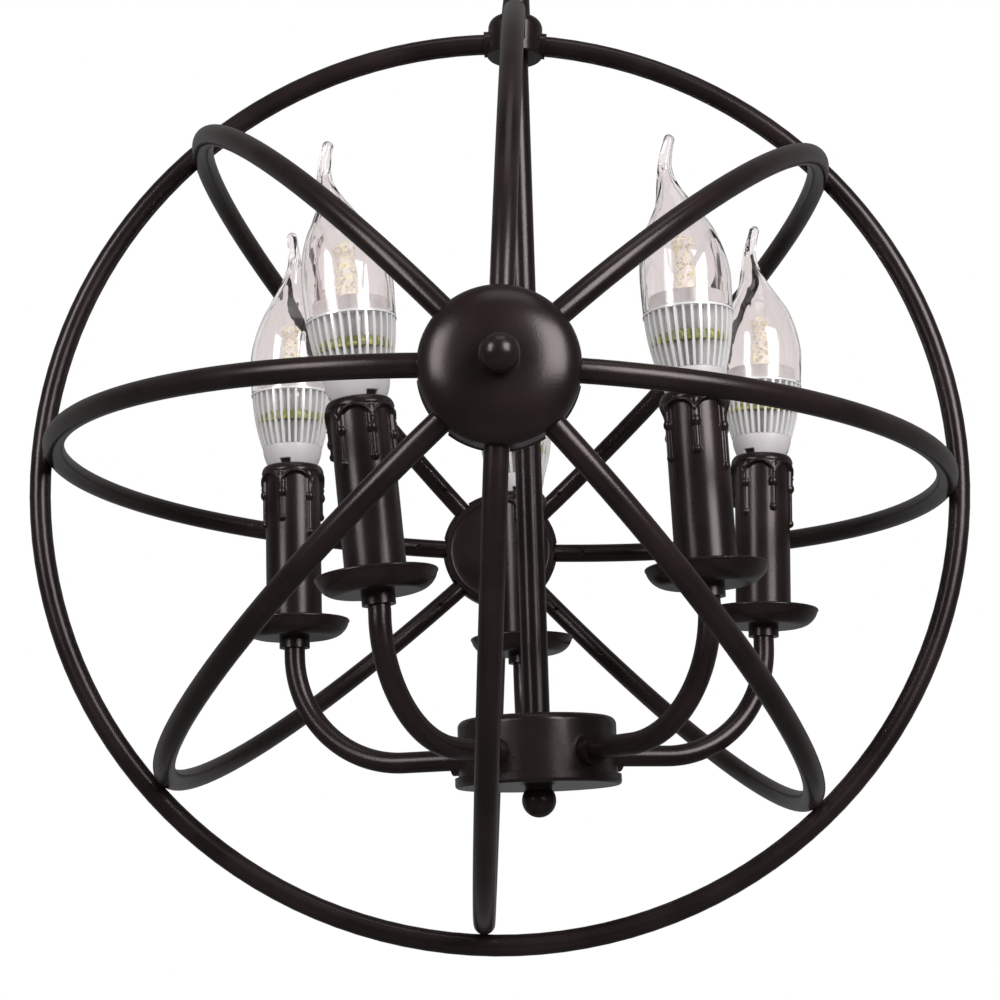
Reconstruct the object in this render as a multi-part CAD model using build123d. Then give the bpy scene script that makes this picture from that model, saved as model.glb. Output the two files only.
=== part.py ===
"""Orb chandelier: a round cage of tubes with a five-light candle cluster hung inside it.

Millimetres, +Z up. The pieces are worked out about the orb's centre and saved about the centre
of the hanging eye, the point that the chandelier hangs from. The viewer's side is -Y.
"""
from build123d import *
from math import asin, copysign, cos, degrees, pi, radians, sin, sqrt
import os

# ---- cage: one ring that faces the viewer, and arcs that run from the front cup to the rear cup
RING_RADIUS = 220.0          # centreline of the ring
TUBE_RADIUS = 5.0
TUBE_WALL = 1.0
ARC_COUNT = 8                # directions that arcs leave a cup in
WELD_BITE = 0.3              # an arc and the ring sink this far into each other at their weld
FIT = 0.05                   # radial clearance of a plugged or threaded joint

CUP_RADIUS = 32.0
CUP_WALL = 1.2
SKIRT_HEIGHT = 11.0          # the straight side that the tubes enter
CUP_DEPTH = 22.5
APEX_RADIUS = 7.0            # flat at the top of the dome
RIM_BEAD_RADIUS = 0.9
SIGHT_HOLE_RADIUS = 4.75     # centre hole of cups and spiders

SPIDER_RELIEF = 0.5          # the disc ends this far short of the skirt's top
DISH_DEPTH = 1.8
STUB_REACH = 20.0            # how far a stub stands out of the cup
SOCKET_SPARE = 2.0
GRUB_OFFSET = 15.5           # from the cup's side to a grub screw
GRUB_RADIUS = 1.5
GRUB_LENGTH = 4.0
GRUB_RECESS = 0.3
GRUB_KEY = 0.85

BALL_RADIUS = 8.0            # both ball finials
BALL_NECK_RADIUS = 6.4
BALL_NECK_HEIGHT = 1.4
STUD_RADIUS = 2.5
STUD_NUT_RADIUS = 7.5
STUD_NUT_HEIGHT = 4.0
STUD_SPARE = 1.5             # thread that shows past a nut

# ---- top hub and hanging loop
HUB_RADIUS = 13.5
HUB_BELOW = 7.0              # hub's bottom face under the ring's centreline
HUB_ABOVE = 8.0
HUB_BEVEL = 0.5
PLUG_DEPTH = 5.0            # how far a tube end enters the hub
COLLAR_RADIUS = 6.3          # thin collars where the ring enters the hub
COLLAR_LENGTH = 1.8
SPIGOT_RADIUS = 10.0         # stands up inside the loop's cap
SPIGOT_HEIGHT = 3.0
CAP_HEIGHT = 6.2             # rounded cap at the foot of the loop
STEP_RADIUS = 8.4
STEP_HEIGHT = 0.8
NECK_FOOT_RADIUS = 7.25
NECK_TOP_RADIUS = 6.6
NECK_HEIGHT = 13.0
NECK_DOME = 4.0              # rounded end of the neck, inside the loop's foot
LOOP_SINK = 1.0
WIRE_WAY_RADIUS = 3.2
LOOP_RADIUS = 10.5           # centreline of the loop's ring
LOOP_WIRE_RADIUS = 2.5
EYE_RADIUS = 8.3             # flat land inside the loop

# ---- centre stem
STEM_LEAN = -3.6             # degrees about Y: its foot swings towards +X
CLUSTER_TURN = 2.0           # degrees about the stem, as photographed
STEM_RADIUS = 6.35
STEM_RECESS = 2.5            # how far the stem enters the hub
TURN_CLEARANCE = 0.08
NIPPLE_RADIUS = 5.0
NIPPLE_BORE = 3.6
NIPPLE_ENGAGEMENT = 12.0
NUT_HEIGHT = 2.5
NUT_ACROSS = 13.0
NUT_POCKET_GAP = 0.7

# ---- lower hub
HUB_TOP_DROP = 336.0         # down the stem from the ring's centreline
HUB_CUP_HEIGHT = 26.8
HUB_CUP_RADIUS = 37.2
HUB_CUP_WALL = 1.5
HUB_CUP_ROUND = 3.5
COVER_RADIUS = 38.9
COVER_HEIGHT = 4.7
COVER_WALL = 1.6
COVER_ROUND = 1.5
SPIGOT_LIP = 2.0             # the cover's lip inside the cup
COUPLING_RADIUS = 7.5
COUPLING_FLANGE = 9.5
FLANGE_HEIGHT = 1.5
BLOCK_RADIUS = 20.0          # round terminal block
BLOCK_HEIGHT = 8.0
BLOCK_SCREW_RADIUS = 1.6
WIRE_RADIUS = 2.4

# ---- arms and candles
FIRST_ARM = -126.0           # degrees about the stem from +X
# name, lean of the candle about Y, and headings of its first drip, first slot and flame
LIGHTS = (
    ("a", -4.5, -68.0, -58.0, 0.0),      # front left
    ("b", -1.5, -96.0, -30.0, 0.0),      # front right
    ("d", 2.4, -73.0, -127.0, 10.0),     # right
    ("e", 0.0, -90.0, -90.0, 0.0),       # rear
    ("c", 0.0, -108.0, -102.0, 118.0),   # left
)
ARM_SPREAD = 120.6           # stem to candle
ARM_SINK = 17.1              # arms' level under the hub's top
ARM_BEND = 54.6
ARM_UPRIGHT = 3.7            # between the bend and the pan's nut
LEAN_BEND = 30.0             # radius of the slight bend that lets a candle lean
ARM_TAIL = 7.0               # arm end inside the hub's wall
ARM_COLLAR_RADIUS = 7.5
ARM_COLLAR_LENGTH = 4.0
ARM_NUT_ACROSS = 14.0
ARM_NUT_HEIGHT = 3.0

PAN_RADIUS = 26.6
PAN_DEPTH = 8.0
PAN_FLOOR_RADIUS = 16.5
PAN_BULGE = 2.5              # how far its side swells out of a straight line
PAN_WALL = 1.0
PAN_LIP_RADIUS = 0.8
PAN_NUT_RADIUS = 7.4
PAN_NUT_HEIGHT = 5.0

CANDLE_HEIGHT = 84.2
CANDLE_RADIUS = 13.5
CANDLE_WALL = 1.25
WAX_RADIUS = 15.9            # soft shoulder at the candle's top
WAX_ROUND = 2.3
WAX_SHOULDER = 5.0           # height of the shoulder's round
WAX_BAND = 11.9              # depth of the band that the drips run from
ARCH_GAP = 4.4               # between two arches, where a drip leaves the band
# a drip runs in two stages, a wide one and a thin one: half width, relief and bead
WIDE_DRIP = (2.2, 1.9, 2.6)
THIN_DRIP = (1.6, 1.4, 2.2)
WIDE_LENGTHS = (17.0, 19.0, 18.0, 16.0, 20.0, 17.0)
THIN_LENGTHS = (29.0, 36.0, 27.0, 33.0, 25.0, 31.0)

HOLDER_RADIUS = 11.3
HOLDER_SOCKET = 32.0         # length of the wide upper part
HOLDER_STEM_RADIUS = 6.0
HOLDER_FOOT_RADIUS = 9.0
HOLDER_FOOT = 14.0
HOLDER_RECESS = 2.0          # its mouth under the candle's top
ARM_IN_HOLDER = 4.0

# ---- bulb, measured up from the candle's top
CAP_RADIUS = 6.9             # screw cap
CAP_LENGTH = 16.0
CAP_TIP_RADIUS = 3.6
CAP_TIP = 2.0
BULB_CLEARANCE = 0.35
BASE_HEIGHT = 9.5            # white base that shows
BASE_FOOT_RADIUS = 11.9
BASE_TOP_RADIUS = 14.5
BASE_BULGE = 0.6
BASE_SLOT_WIDTH = 5.0
BASE_SLOT_HEIGHT = 2.2
BASE_SLOT_DEPTH = 1.2
BASE_SLOTS = 3
SINK_HEIGHT = 27.0           # fins and the flange on them
SINK_FOOT_RADIUS = 14.8
SINK_TOP_RADIUS = 19.6
SINK_BULGE = 0.85
SINK_CORE_FOOT = 10.6
SINK_CORE_TOP = 15.2
SINK_CORE_CREST = 4.0        # height of the core's round shoulder
FIN_COUNT = 32
FIN_THICKNESS = 1.1
FLANGE_RADIUS = 20.0         # thin plate that the glass stands on
FLANGE_THICKNESS = 0.9
BAND_HEIGHT = 7.4            # polished band inside the foot of the glass
BAND_RADIUS = 16.8
BAND_ROUND = 0.6
BOARD_RADIUS = 17.2          # circuit board between the fins
BOARD_DEPTH = 5.0
BOARD_THICKNESS = 4.2
LED_RADIUS = 5.9
LED_HEIGHT = 28.0
LED_SIDES = 8
GLASS_WALL = 1.9
GLASS_TIP_SOLID = 11.0
# height over the flange, radius and sideways lean of the flame's sections
FLAME = (
    (0.0, 19.8, 0.0),
    (8.0, 20.1, 0.0),
    (17.0, 20.2, 0.0),
    (25.0, 19.3, -0.4),
    (32.5, 17.5, -0.9),
    (39.5, 14.8, -1.4),
    (46.5, 11.0, -2.1),
    (53.5, 7.6, -3.2),
    (60.5, 5.0, -4.8),
    (67.5, 3.4, -5.5),
    (74.5, 2.9, -4.6),
    (81.0, 2.6, -2.8),
)

# ---- worked out from the sizes above
ARC_RADIUS = RING_RADIUS - 2 * TUBE_RADIUS + WELD_BITE
TUBE_BORE = TUBE_RADIUS - TUBE_WALL
CUP_RIM_Y = sqrt(ARC_RADIUS**2 - CUP_RADIUS**2) - SKIRT_HEIGHT / 2
DISC_RADIUS = CUP_RADIUS - CUP_WALL - 2 * FIT
DISC_THICKNESS = SKIRT_HEIGHT - SPIDER_RELIEF
STUB_END = CUP_RADIUS + STUB_REACH
GRUB_AT = CUP_RADIUS + GRUB_OFFSET

# the arc over the top is a four-centre oval that reaches the ring's height
OVAL_SHIFT = (RING_RADIUS - ARC_RADIUS) * (1 + 1 / sqrt(2))
OVAL_POLE_RADIUS = ARC_RADIUS + OVAL_SHIFT
OVAL_TOP_RADIUS = RING_RADIUS - OVAL_SHIFT
OVAL_JOIN = 45.0
TOP = 90.0

PLUG_REACH = HUB_RADIUS - PLUG_DEPTH
HUB_TOP_Z = RING_RADIUS + HUB_ABOVE
CAP_TOP_Z = HUB_TOP_Z + CAP_HEIGHT
NECK_TOP_Z = CAP_TOP_Z + NECK_HEIGHT
EYE_Z = NECK_TOP_Z + LOOP_RADIUS - LOOP_SINK

NUT_SEAT = TUBE_RADIUS + FIT + NUT_POCKET_GAP / 2
NUT_POCKET_RADIUS = NUT_ACROSS / 2 / cos(pi / 6) + NUT_POCKET_GAP
STEM_TOP = STEM_RECESS - HUB_BELOW
HUB_LINE_DROP = HUB_TOP_DROP + HUB_CUP_HEIGHT
HUB_CUP_BORE = HUB_CUP_RADIUS - HUB_CUP_WALL
COUPLING_TOP = -HUB_TOP_DROP - HUB_CUP_WALL - NUT_HEIGHT
COVER_BOTTOM = -HUB_LINE_DROP - COVER_HEIGHT
LOWER_BALL_DROP = -COVER_BOTTOM + BALL_NECK_HEIGHT + sqrt(BALL_RADIUS**2 - BALL_NECK_RADIUS**2)

ARM_COUNT = len(LIGHTS)
ARM_DROP = HUB_TOP_DROP + ARM_SINK
BLOCK_BOTTOM = -ARM_DROP - BLOCK_HEIGHT / 2
BEND_TOP = ARM_BEND - ARM_DROP
PAN_BOTTOM = BEND_TOP + ARM_UPRIGHT + PAN_NUT_HEIGHT
PAN_FLOOR = PAN_BOTTOM + PAN_WALL
ARM_TOP = PAN_FLOOR + ARM_IN_HOLDER
CANDLE_TOP = PAN_FLOOR + CANDLE_HEIGHT
HOLDER_MOUTH = CANDLE_TOP - HOLDER_RECESS
FLANGE_TOP = BASE_HEIGHT + SINK_HEIGHT

CAGE = Pos(0, 0, -EYE_Z)
CLUSTER = CAGE * Pos(0, 0, RING_RADIUS) * Rot(0, STEM_LEAN, 0) * Rot(0, 0, CLUSTER_TURN)


def rod(radius, low, high, at=0.0):
    """Upright round bar between two heights, `at` from the axis along +X."""
    return Pos(at, 0, low) * Cylinder(radius, high - low, align=(Align.CENTER, Align.CENTER, Align.MIN))


def bar(radius, start, end):
    """Level round bar along +X from `start` to `end`."""
    return Rot(0, 90, 0) * rod(radius, start, end)


def pipe(outer, bore, low, high):
    return rod(outer, low, high) - rod(bore, low, high)


def hex_nut(across, bore, low, high):
    """Nut whose corners are taken down to a circle, as on a turned nut."""
    blank = extrude(Pos(0, 0, low) * RegularPolygon(across / 2, 6, major_radius=False), high - low)
    return blank - rod(bore, low, high)


def turned(*edges):
    """Solid of revolution about Z from edges in radius and height that close a loop."""
    return revolve(Plane.XZ * make_face(edges), Axis.Z)


def swell(low, high, bulge):
    """Arc from a lower to an upper point of a half section, swollen outwards by `bulge`."""
    width = high[0] - low[0]
    height = high[1] - low[1]
    span = sqrt(width**2 + height**2)
    middle = (low[0] + width / 2 + bulge * height / span, low[1] + height / 2 - bulge * width / span)
    return ThreePointArc(low, middle, high)


def bent(bend_radius, radius, start, end):
    """Round bar bent about Z, from one angle to another, in degrees from +X."""
    section = Plane.XZ * Pos(bend_radius, 0) * Circle(radius)
    return Rot(0, 0, start) * revolve(section, Axis.Z, revolution_arc=end - start)


def around(count, solid, start=0.0):
    """Copies of a solid at even steps about Z."""
    return [Rot(0, 0, start + step * 360 / count) * solid for step in range(count)]


# ---- cage

def arc_plane(angle, pole):
    """Plane of an arc: its X axis points at the pole (-1 front, 1 rear), its Y axis outwards."""
    shift = OVAL_SHIFT if angle == TOP else 0.0
    outwards = (pole * sin(radians(angle)), 0, -pole * cos(radians(angle)))
    return Plane(origin=(0, -pole * shift, 0), x_dir=(0, pole, 0), z_dir=outwards)


def pole_radius(angle):
    return OVAL_POLE_RADIUS if angle == TOP else ARC_RADIUS


def near_pole(angle, pole, radius, reach_from, reach_to):
    """Stretch of an arc between two distances from the axis through the poles."""
    bend = pole_radius(angle)
    start = degrees(asin(reach_from / bend))
    end = degrees(asin(reach_to / bend))
    return arc_plane(angle, pole) * bent(bend, radius, start, end)


def grub_place(angle, pole):
    """Where a grub screw's outer end lies, with Z running out through the tube."""
    bend = pole_radius(angle)
    lift = degrees(asin(GRUB_AT / bend))
    depth = bend - TUBE_RADIUS + GRUB_RECESS
    return arc_plane(angle, pole).location * Rot(0, 0, lift) * Pos(depth, 0, 0) * Rot(0, 90, 0)


def arc_angles():
    return [step * 360 / ARC_COUNT for step in range(ARC_COUNT)]


def disc_space():
    """The round space that both spiders take up, which trims the tube ends."""
    return Rot(90, 0, 0) * Cylinder(DISC_RADIUS, 2 * RING_RADIUS)


def socketed(tube, angle, pole):
    """Opens a tube's end for its stub and drills it for its grub screw."""
    tube -= near_pole(angle, pole, TUBE_BORE, DISC_RADIUS - CUP_WALL, STUB_END + SOCKET_SPARE)
    return tube - grub_place(angle, pole) * rod(GRUB_RADIUS + FIT, -GRUB_LENGTH / 2, GRUB_LENGTH / 2)


def side_arc(angle):
    """Half arc from the front cup to the rear cup."""
    start = degrees(asin((DISC_RADIUS - CUP_WALL) / ARC_RADIUS))
    tube = arc_plane(angle, -1) * bent(ARC_RADIUS, TUBE_RADIUS, start, 180 - start)
    tube -= disc_space()
    return socketed(socketed(tube, angle, -1), angle, 1)


def top_arc_end(pole, radius):
    """Upper half of a quarter arc over the top, which ends inside the hub."""
    stop = 90 - degrees(asin(PLUG_REACH / OVAL_TOP_RADIUS))
    upper = Plane(origin=(0, 0, OVAL_SHIFT), x_dir=(0, pole, 0), z_dir=(pole, 0, 0))
    return upper * bent(OVAL_TOP_RADIUS, radius, OVAL_JOIN, stop)


def top_arc(pole):
    """Quarter arc over the top, from one cup to the hub, in two tangent bends."""
    start = degrees(asin((DISC_RADIUS - CUP_WALL) / OVAL_POLE_RADIUS))
    lower = arc_plane(TOP, pole) * bent(OVAL_POLE_RADIUS, TUBE_RADIUS, start, OVAL_JOIN)
    tube = lower + top_arc_end(pole, TUBE_RADIUS)
    tube -= disc_space()
    return socketed(tube, TOP, pole)


def equator(radius):
    """The ring, open at the top where its two ends plug into the hub."""
    gap = degrees(asin(PLUG_REACH / RING_RADIUS))
    return Rot(90, 0, 0) * bent(RING_RADIUS, radius, 90 + gap, 450 - gap)


def cup_place(pole):
    """Rim centre of a cup, with Z running out through its dome."""
    return Plane(origin=(0, pole * CUP_RIM_Y, 0), x_dir=(1, 0, 0), z_dir=(0, pole, 0)).location


def dome_side(radius, foot, crest):
    """Quarter ellipse from the skirt to the flat at the dome's top."""
    return EllipticalCenterArc((APEX_RADIUS, foot), radius - APEX_RADIUS, crest - foot)


def cup(pole):
    """Pressed dome with a straight skirt, a rolled rim, a centre hole and a notch at each tube."""
    inner = CUP_RADIUS - CUP_WALL
    crest = CUP_DEPTH - CUP_WALL
    shell = turned(
        Line((inner, 0), (CUP_RADIUS, 0)),
        Line((CUP_RADIUS, 0), (CUP_RADIUS, SKIRT_HEIGHT)),
        dome_side(CUP_RADIUS, SKIRT_HEIGHT, CUP_DEPTH),
        Line((APEX_RADIUS, CUP_DEPTH), (SIGHT_HOLE_RADIUS, CUP_DEPTH)),
        Line((SIGHT_HOLE_RADIUS, CUP_DEPTH), (SIGHT_HOLE_RADIUS, crest)),
        Line((SIGHT_HOLE_RADIUS, crest), (APEX_RADIUS, crest)),
        dome_side(inner, SKIRT_HEIGHT, crest),
        Line((inner, SKIRT_HEIGHT), (inner, 0)),
    )
    bead = Pos(0, 0, RIM_BEAD_RADIUS) * Torus(CUP_RADIUS - RIM_BEAD_RADIUS / 2, RIM_BEAD_RADIUS)
    shell += bead - rod(inner, 0, SKIRT_HEIGHT)
    half_gap = TUBE_RADIUS + FIT
    slot = Box(6 * CUP_WALL, 2 * half_gap, SKIRT_HEIGHT)
    place = cup_place(pole)
    for angle in arc_angles():
        shell -= Rot(0, 0, -pole * angle) * Pos(CUP_RADIUS, 0, 0) * slot
        shell -= place.inverse() * near_pole(angle, pole, half_gap, DISC_RADIUS - CUP_WALL, STUB_END)
    return place * shell


def spider(pole):
    """Dished disc inside a cup, with a bent stub for each tube."""
    lip = DISC_RADIUS - 2 * CUP_WALL
    disc = turned(
        Line((SIGHT_HOLE_RADIUS, DISH_DEPTH), (STUD_NUT_RADIUS, DISH_DEPTH)),
        EllipticalCenterArc((STUD_NUT_RADIUS, 0), lip - STUD_NUT_RADIUS, DISH_DEPTH),
        Line((lip, 0), (DISC_RADIUS, 0)),
        Line((DISC_RADIUS, 0), (DISC_RADIUS, DISC_THICKNESS)),
        Line((DISC_RADIUS, DISC_THICKNESS), (SIGHT_HOLE_RADIUS, DISC_THICKNESS)),
        Line((SIGHT_HOLE_RADIUS, DISC_THICKNESS), (SIGHT_HOLE_RADIUS, DISH_DEPTH)),
    )
    piece = cup_place(pole) * disc
    for angle in arc_angles():
        piece += near_pole(angle, pole, TUBE_BORE - FIT, DISC_RADIUS - TUBE_RADIUS, STUB_END)
    for angle in arc_angles():
        piece -= grub_place(angle, pole) * rod(GRUB_RADIUS + FIT, 0, GRUB_LENGTH)
    return piece


def grub_screws():
    """Socket screws that pin each tube to its stub, on the tube's inner side."""
    key = extrude(RegularPolygon(GRUB_KEY, 6), GRUB_LENGTH / 2)
    screw = rod(GRUB_RADIUS, 0, GRUB_LENGTH) - key
    return [grub_place(angle, pole) * screw for pole in (-1, 1) for angle in arc_angles()]


def ball_finial(tail):
    """Ball on a short neck whose flat face is at height 0, with a stud or a bore below it."""
    centre = BALL_NECK_HEIGHT + sqrt(BALL_RADIUS**2 - BALL_NECK_RADIUS**2)
    ball = Pos(0, 0, centre) * Sphere(BALL_RADIUS) - rod(BALL_RADIUS, -BALL_RADIUS, 0)
    return ball + rod(BALL_NECK_RADIUS, 0, BALL_NECK_HEIGHT) + rod(STUD_RADIUS, -tail, BALL_NECK_HEIGHT)


def front_finial():
    tail = CUP_DEPTH - DISH_DEPTH + STUD_NUT_HEIGHT + STUD_SPARE
    return cup_place(-1) * Pos(0, 0, CUP_DEPTH) * ball_finial(tail)


def finial_nut():
    """Round nut on the finial's stud, seated in the front spider's dish."""
    bottom = DISH_DEPTH - STUD_NUT_HEIGHT
    return cup_place(-1) * pipe(STUD_NUT_RADIUS, STUD_RADIUS + FIT, bottom, DISH_DEPTH)


# ---- top hub and loop

def tube_ends(radius):
    """Everything that plugs into the top hub, at a given radius."""
    return [equator(radius), top_arc_end(-1, radius), top_arc_end(1, radius)]


def top_hub():
    """Turned block that takes the ring, the top arcs, and the stem on its leaning axis."""
    bottom = RING_RADIUS - HUB_BELOW
    block = rod(HUB_RADIUS, bottom, HUB_TOP_Z)
    block = chamfer(block.edges().group_by(Axis.Z)[0], HUB_BEVEL)
    block += rod(SPIGOT_RADIUS, HUB_TOP_Z, HUB_TOP_Z + SPIGOT_HEIGHT)
    for tube in tube_ends(TUBE_RADIUS + FIT):
        block -= tube
    lean = Pos(0, 0, RING_RADIUS) * Rot(0, STEM_LEAN, 0)
    above = HUB_ABOVE + SPIGOT_HEIGHT + HUB_RADIUS
    block -= lean * rod(NIPPLE_RADIUS + TURN_CLEARANCE, -HUB_RADIUS, above)
    block -= lean * rod(STEM_RADIUS + TURN_CLEARANCE, -HUB_RADIUS, STEM_TOP)
    block -= lean * rod(NUT_POCKET_RADIUS, NUT_SEAT, above)
    return block


def hub_collars():
    """Thin collars that close the gaps where the ring's ends enter the hub."""
    turn = degrees(asin((HUB_RADIUS + COLLAR_LENGTH) / RING_RADIUS))
    inner = degrees(asin((HUB_RADIUS - COLLAR_LENGTH) / RING_RADIUS))
    pieces = []
    for side in (90 - turn, 90 + inner):
        collar = Rot(90, 0, 0) * bent(RING_RADIUS, COLLAR_RADIUS, side, side + turn - inner)
        collar -= equator(TUBE_RADIUS + FIT)
        pieces.append(collar - rod(HUB_RADIUS, 0, RING_RADIUS + HUB_RADIUS))
    return pieces


def hanging_loop():
    """Cap, neck and ring in one casting, with a wire way up into the eye."""
    shoulder = HUB_RADIUS - STEP_RADIUS
    step_z = CAP_TOP_Z - STEP_HEIGHT
    casting = turned(
        Line((0, HUB_TOP_Z), (HUB_RADIUS, HUB_TOP_Z)),
        EllipticalCenterArc((STEP_RADIUS, HUB_TOP_Z), shoulder, step_z - HUB_TOP_Z),
        Line((STEP_RADIUS, step_z), (NECK_FOOT_RADIUS, CAP_TOP_Z)),
        Line((NECK_FOOT_RADIUS, CAP_TOP_Z), (NECK_TOP_RADIUS, NECK_TOP_Z - NECK_DOME)),
        EllipticalCenterArc((0, NECK_TOP_Z - NECK_DOME), NECK_TOP_RADIUS, NECK_DOME),
        Line((0, NECK_TOP_Z), (0, HUB_TOP_Z)),
    )
    casting += Pos(0, 0, EYE_Z) * Rot(90, 0, 0) * Torus(LOOP_RADIUS, LOOP_WIRE_RADIUS)
    casting -= Pos(0, 0, EYE_Z) * Rot(90, 0, 0) * Cylinder(EYE_RADIUS, 4 * LOOP_WIRE_RADIUS)
    casting -= rod(SPIGOT_RADIUS + FIT, HUB_TOP_Z, HUB_TOP_Z + SPIGOT_HEIGHT)
    return casting - rod(WIRE_WAY_RADIUS, HUB_TOP_Z, EYE_Z)


# ---- stem and lower hub, about the stem's axis with height 0 at the ring's centreline

def stem():
    return pipe(STEM_RADIUS, STEM_RADIUS - TUBE_WALL, -HUB_TOP_DROP, STEM_TOP)


def nipple_spans():
    """Ends of the nipples that hold the stem to the top hub and to the lower hub."""
    upper = (STEM_TOP - NIPPLE_ENGAGEMENT, NUT_SEAT + NUT_HEIGHT + FLANGE_HEIGHT / 2)
    lower = (COUPLING_TOP - NUT_HEIGHT, NIPPLE_ENGAGEMENT - HUB_TOP_DROP)
    return upper, lower


def stem_nipples():
    return [pipe(NIPPLE_RADIUS, NIPPLE_BORE, low, high) for low, high in nipple_spans()]


def nipple_nuts():
    """Nuts above the top hub's seat and under the lower hub's plate."""
    plate = -HUB_TOP_DROP - HUB_CUP_WALL
    return [
        hex_nut(NUT_ACROSS, NIPPLE_RADIUS + FIT, NUT_SEAT, NUT_SEAT + NUT_HEIGHT),
        hex_nut(NUT_ACROSS, NIPPLE_RADIUS + FIT, plate - NUT_HEIGHT, plate),
    ]


def hub_cup():
    """Inverted cup with a round top edge that carries the five arms."""
    bottom = -HUB_LINE_DROP
    top = -HUB_TOP_DROP
    shell = rod(HUB_CUP_RADIUS, bottom, top)
    shell = fillet(shell.edges().group_by(Axis.Z)[-1], HUB_CUP_ROUND)
    hollow = rod(HUB_CUP_BORE, bottom, top - HUB_CUP_WALL)
    hollow = fillet(hollow.edges().group_by(Axis.Z)[-1], HUB_CUP_ROUND - HUB_CUP_WALL)
    shell -= hollow
    shell -= rod(NIPPLE_RADIUS + FIT, bottom, top)
    for hole in around(ARM_COUNT, bar(TUBE_RADIUS + FIT, BLOCK_RADIUS, HUB_CUP_RADIUS + TUBE_RADIUS), FIRST_ARM):
        shell -= Pos(0, 0, -ARM_DROP) * hole
    return shell


def hub_cover():
    """Bottom cover with a lip inside the cup and a hole for the centre rod."""
    plate = rod(COVER_RADIUS, COVER_BOTTOM, -HUB_LINE_DROP)
    plate = fillet(plate.edges().group_by(Axis.Z)[0], COVER_ROUND)
    plate += rod(HUB_CUP_BORE - FIT, -HUB_LINE_DROP, SPIGOT_LIP - HUB_LINE_DROP)
    plate -= rod(HUB_CUP_BORE - FIT - COVER_WALL, COVER_BOTTOM + COVER_WALL, SPIGOT_LIP - HUB_LINE_DROP)
    return plate - rod(STUD_RADIUS + FIT, COVER_BOTTOM, -HUB_LINE_DROP)


def tie_rod():
    """Coupling on the lower nipple that carries the terminal block and ends in a threaded rod."""
    low, high = nipple_spans()[1]
    flange_bottom = BLOCK_BOTTOM - FLANGE_HEIGHT
    piece = rod(COUPLING_RADIUS, BLOCK_BOTTOM, COUPLING_TOP)
    piece += rod(COUPLING_FLANGE, flange_bottom, BLOCK_BOTTOM)
    piece += rod(STUD_RADIUS, -LOWER_BALL_DROP, flange_bottom)
    return piece - rod(NIPPLE_RADIUS + FIT, low, COUPLING_TOP)


def terminal_block():
    """Round block seated on the coupling's flange, with a wire entry and a screw for each arm."""
    top = BLOCK_BOTTOM + BLOCK_HEIGHT
    block = pipe(BLOCK_RADIUS, COUPLING_RADIUS + FIT, BLOCK_BOTTOM, top)
    middle = (BLOCK_RADIUS + COUPLING_RADIUS) / 2
    for hole in around(ARM_COUNT, rod(BLOCK_SCREW_RADIUS, top - BLOCK_HEIGHT / 4, top, middle), FIRST_ARM):
        block -= hole
    return block


def bottom_finial():
    """Ball nut under the lower hub, bored for the centre rod."""
    bore = rod(STUD_RADIUS + FIT, -FLANGE_HEIGHT, LOWER_BALL_DROP + COVER_BOTTOM + STUD_SPARE)
    return Pos(0, 0, COVER_BOTTOM) * Rot(180, 0, 0) * (ball_finial(0.0) - bore)


def supply_wire():
    """Flexible lead down the stem, from the top nipple's mouth to the coupling."""
    upper, lower = nipple_spans()
    return rod(WIRE_RADIUS, lower[0], upper[1])


def arm_wire(heading, lean):
    """Lead along one arm's bore, from the terminal block to the lamp holder."""
    return arm_path(WIRE_RADIUS, BLOCK_RADIUS, ARM_TOP + ARM_IN_HOLDER, heading, lean)


# ---- arms and candles, on the arm that points along +X

def headings():
    """Each arm's direction about the stem, in degrees from +X."""
    return [FIRST_ARM + step * 360 / ARM_COUNT for step in range(ARM_COUNT)]


def bend_end(heading):
    """Where an arm's bend ends, with X and Y turned back to the stem's own."""
    return Pos(ARM_SPREAD, 0, BEND_TOP) * Rot(0, 0, -heading)


def candle_place(heading, lean):
    """A candle's axis beside its arm, with heights as on the stem and X along the arm."""
    side = copysign(LEAN_BEND, lean)
    swing = Pos(side, 0, 0) * Rot(0, lean, 0) * Pos(-side, 0, 0)
    risen = BEND_TOP + LEAN_BEND * radians(abs(lean))
    return bend_end(heading) * swing * Rot(0, 0, heading) * Pos(0, 0, -risen)


def lean_bend(radius, lean):
    """Slight bend that starts upright and leans to one side."""
    side = copysign(1, lean)
    plane = Plane(origin=(side * LEAN_BEND, 0, 0), x_dir=(-side, 0, 0), z_dir=(0, side, 0))
    return plane * bent(LEAN_BEND, radius, 0, abs(lean))


def arm_path(radius, start, top, heading, lean):
    """Round bar that runs level, bends upwards, leans with the candle and rises to `top`."""
    level_end = ARM_SPREAD - ARM_BEND
    elbow = Plane(origin=(level_end, 0, BEND_TOP), x_dir=(0, 0, -1), z_dir=(0, -1, 0))
    solid = Pos(0, 0, -ARM_DROP) * bar(radius, start, level_end)
    solid += elbow * bent(ARM_BEND, radius, 0, 90)
    if lean:
        solid += bend_end(heading) * lean_bend(radius, lean)
    risen = BEND_TOP + LEAN_BEND * radians(abs(lean))
    return solid + candle_place(heading, lean) * rod(radius, risen, top)


def arm(heading, lean):
    start = HUB_CUP_BORE - ARM_TAIL
    outside = arm_path(TUBE_RADIUS, start, ARM_TOP, heading, lean)
    return outside - arm_path(TUBE_BORE, start, ARM_TOP, heading, lean)


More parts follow.
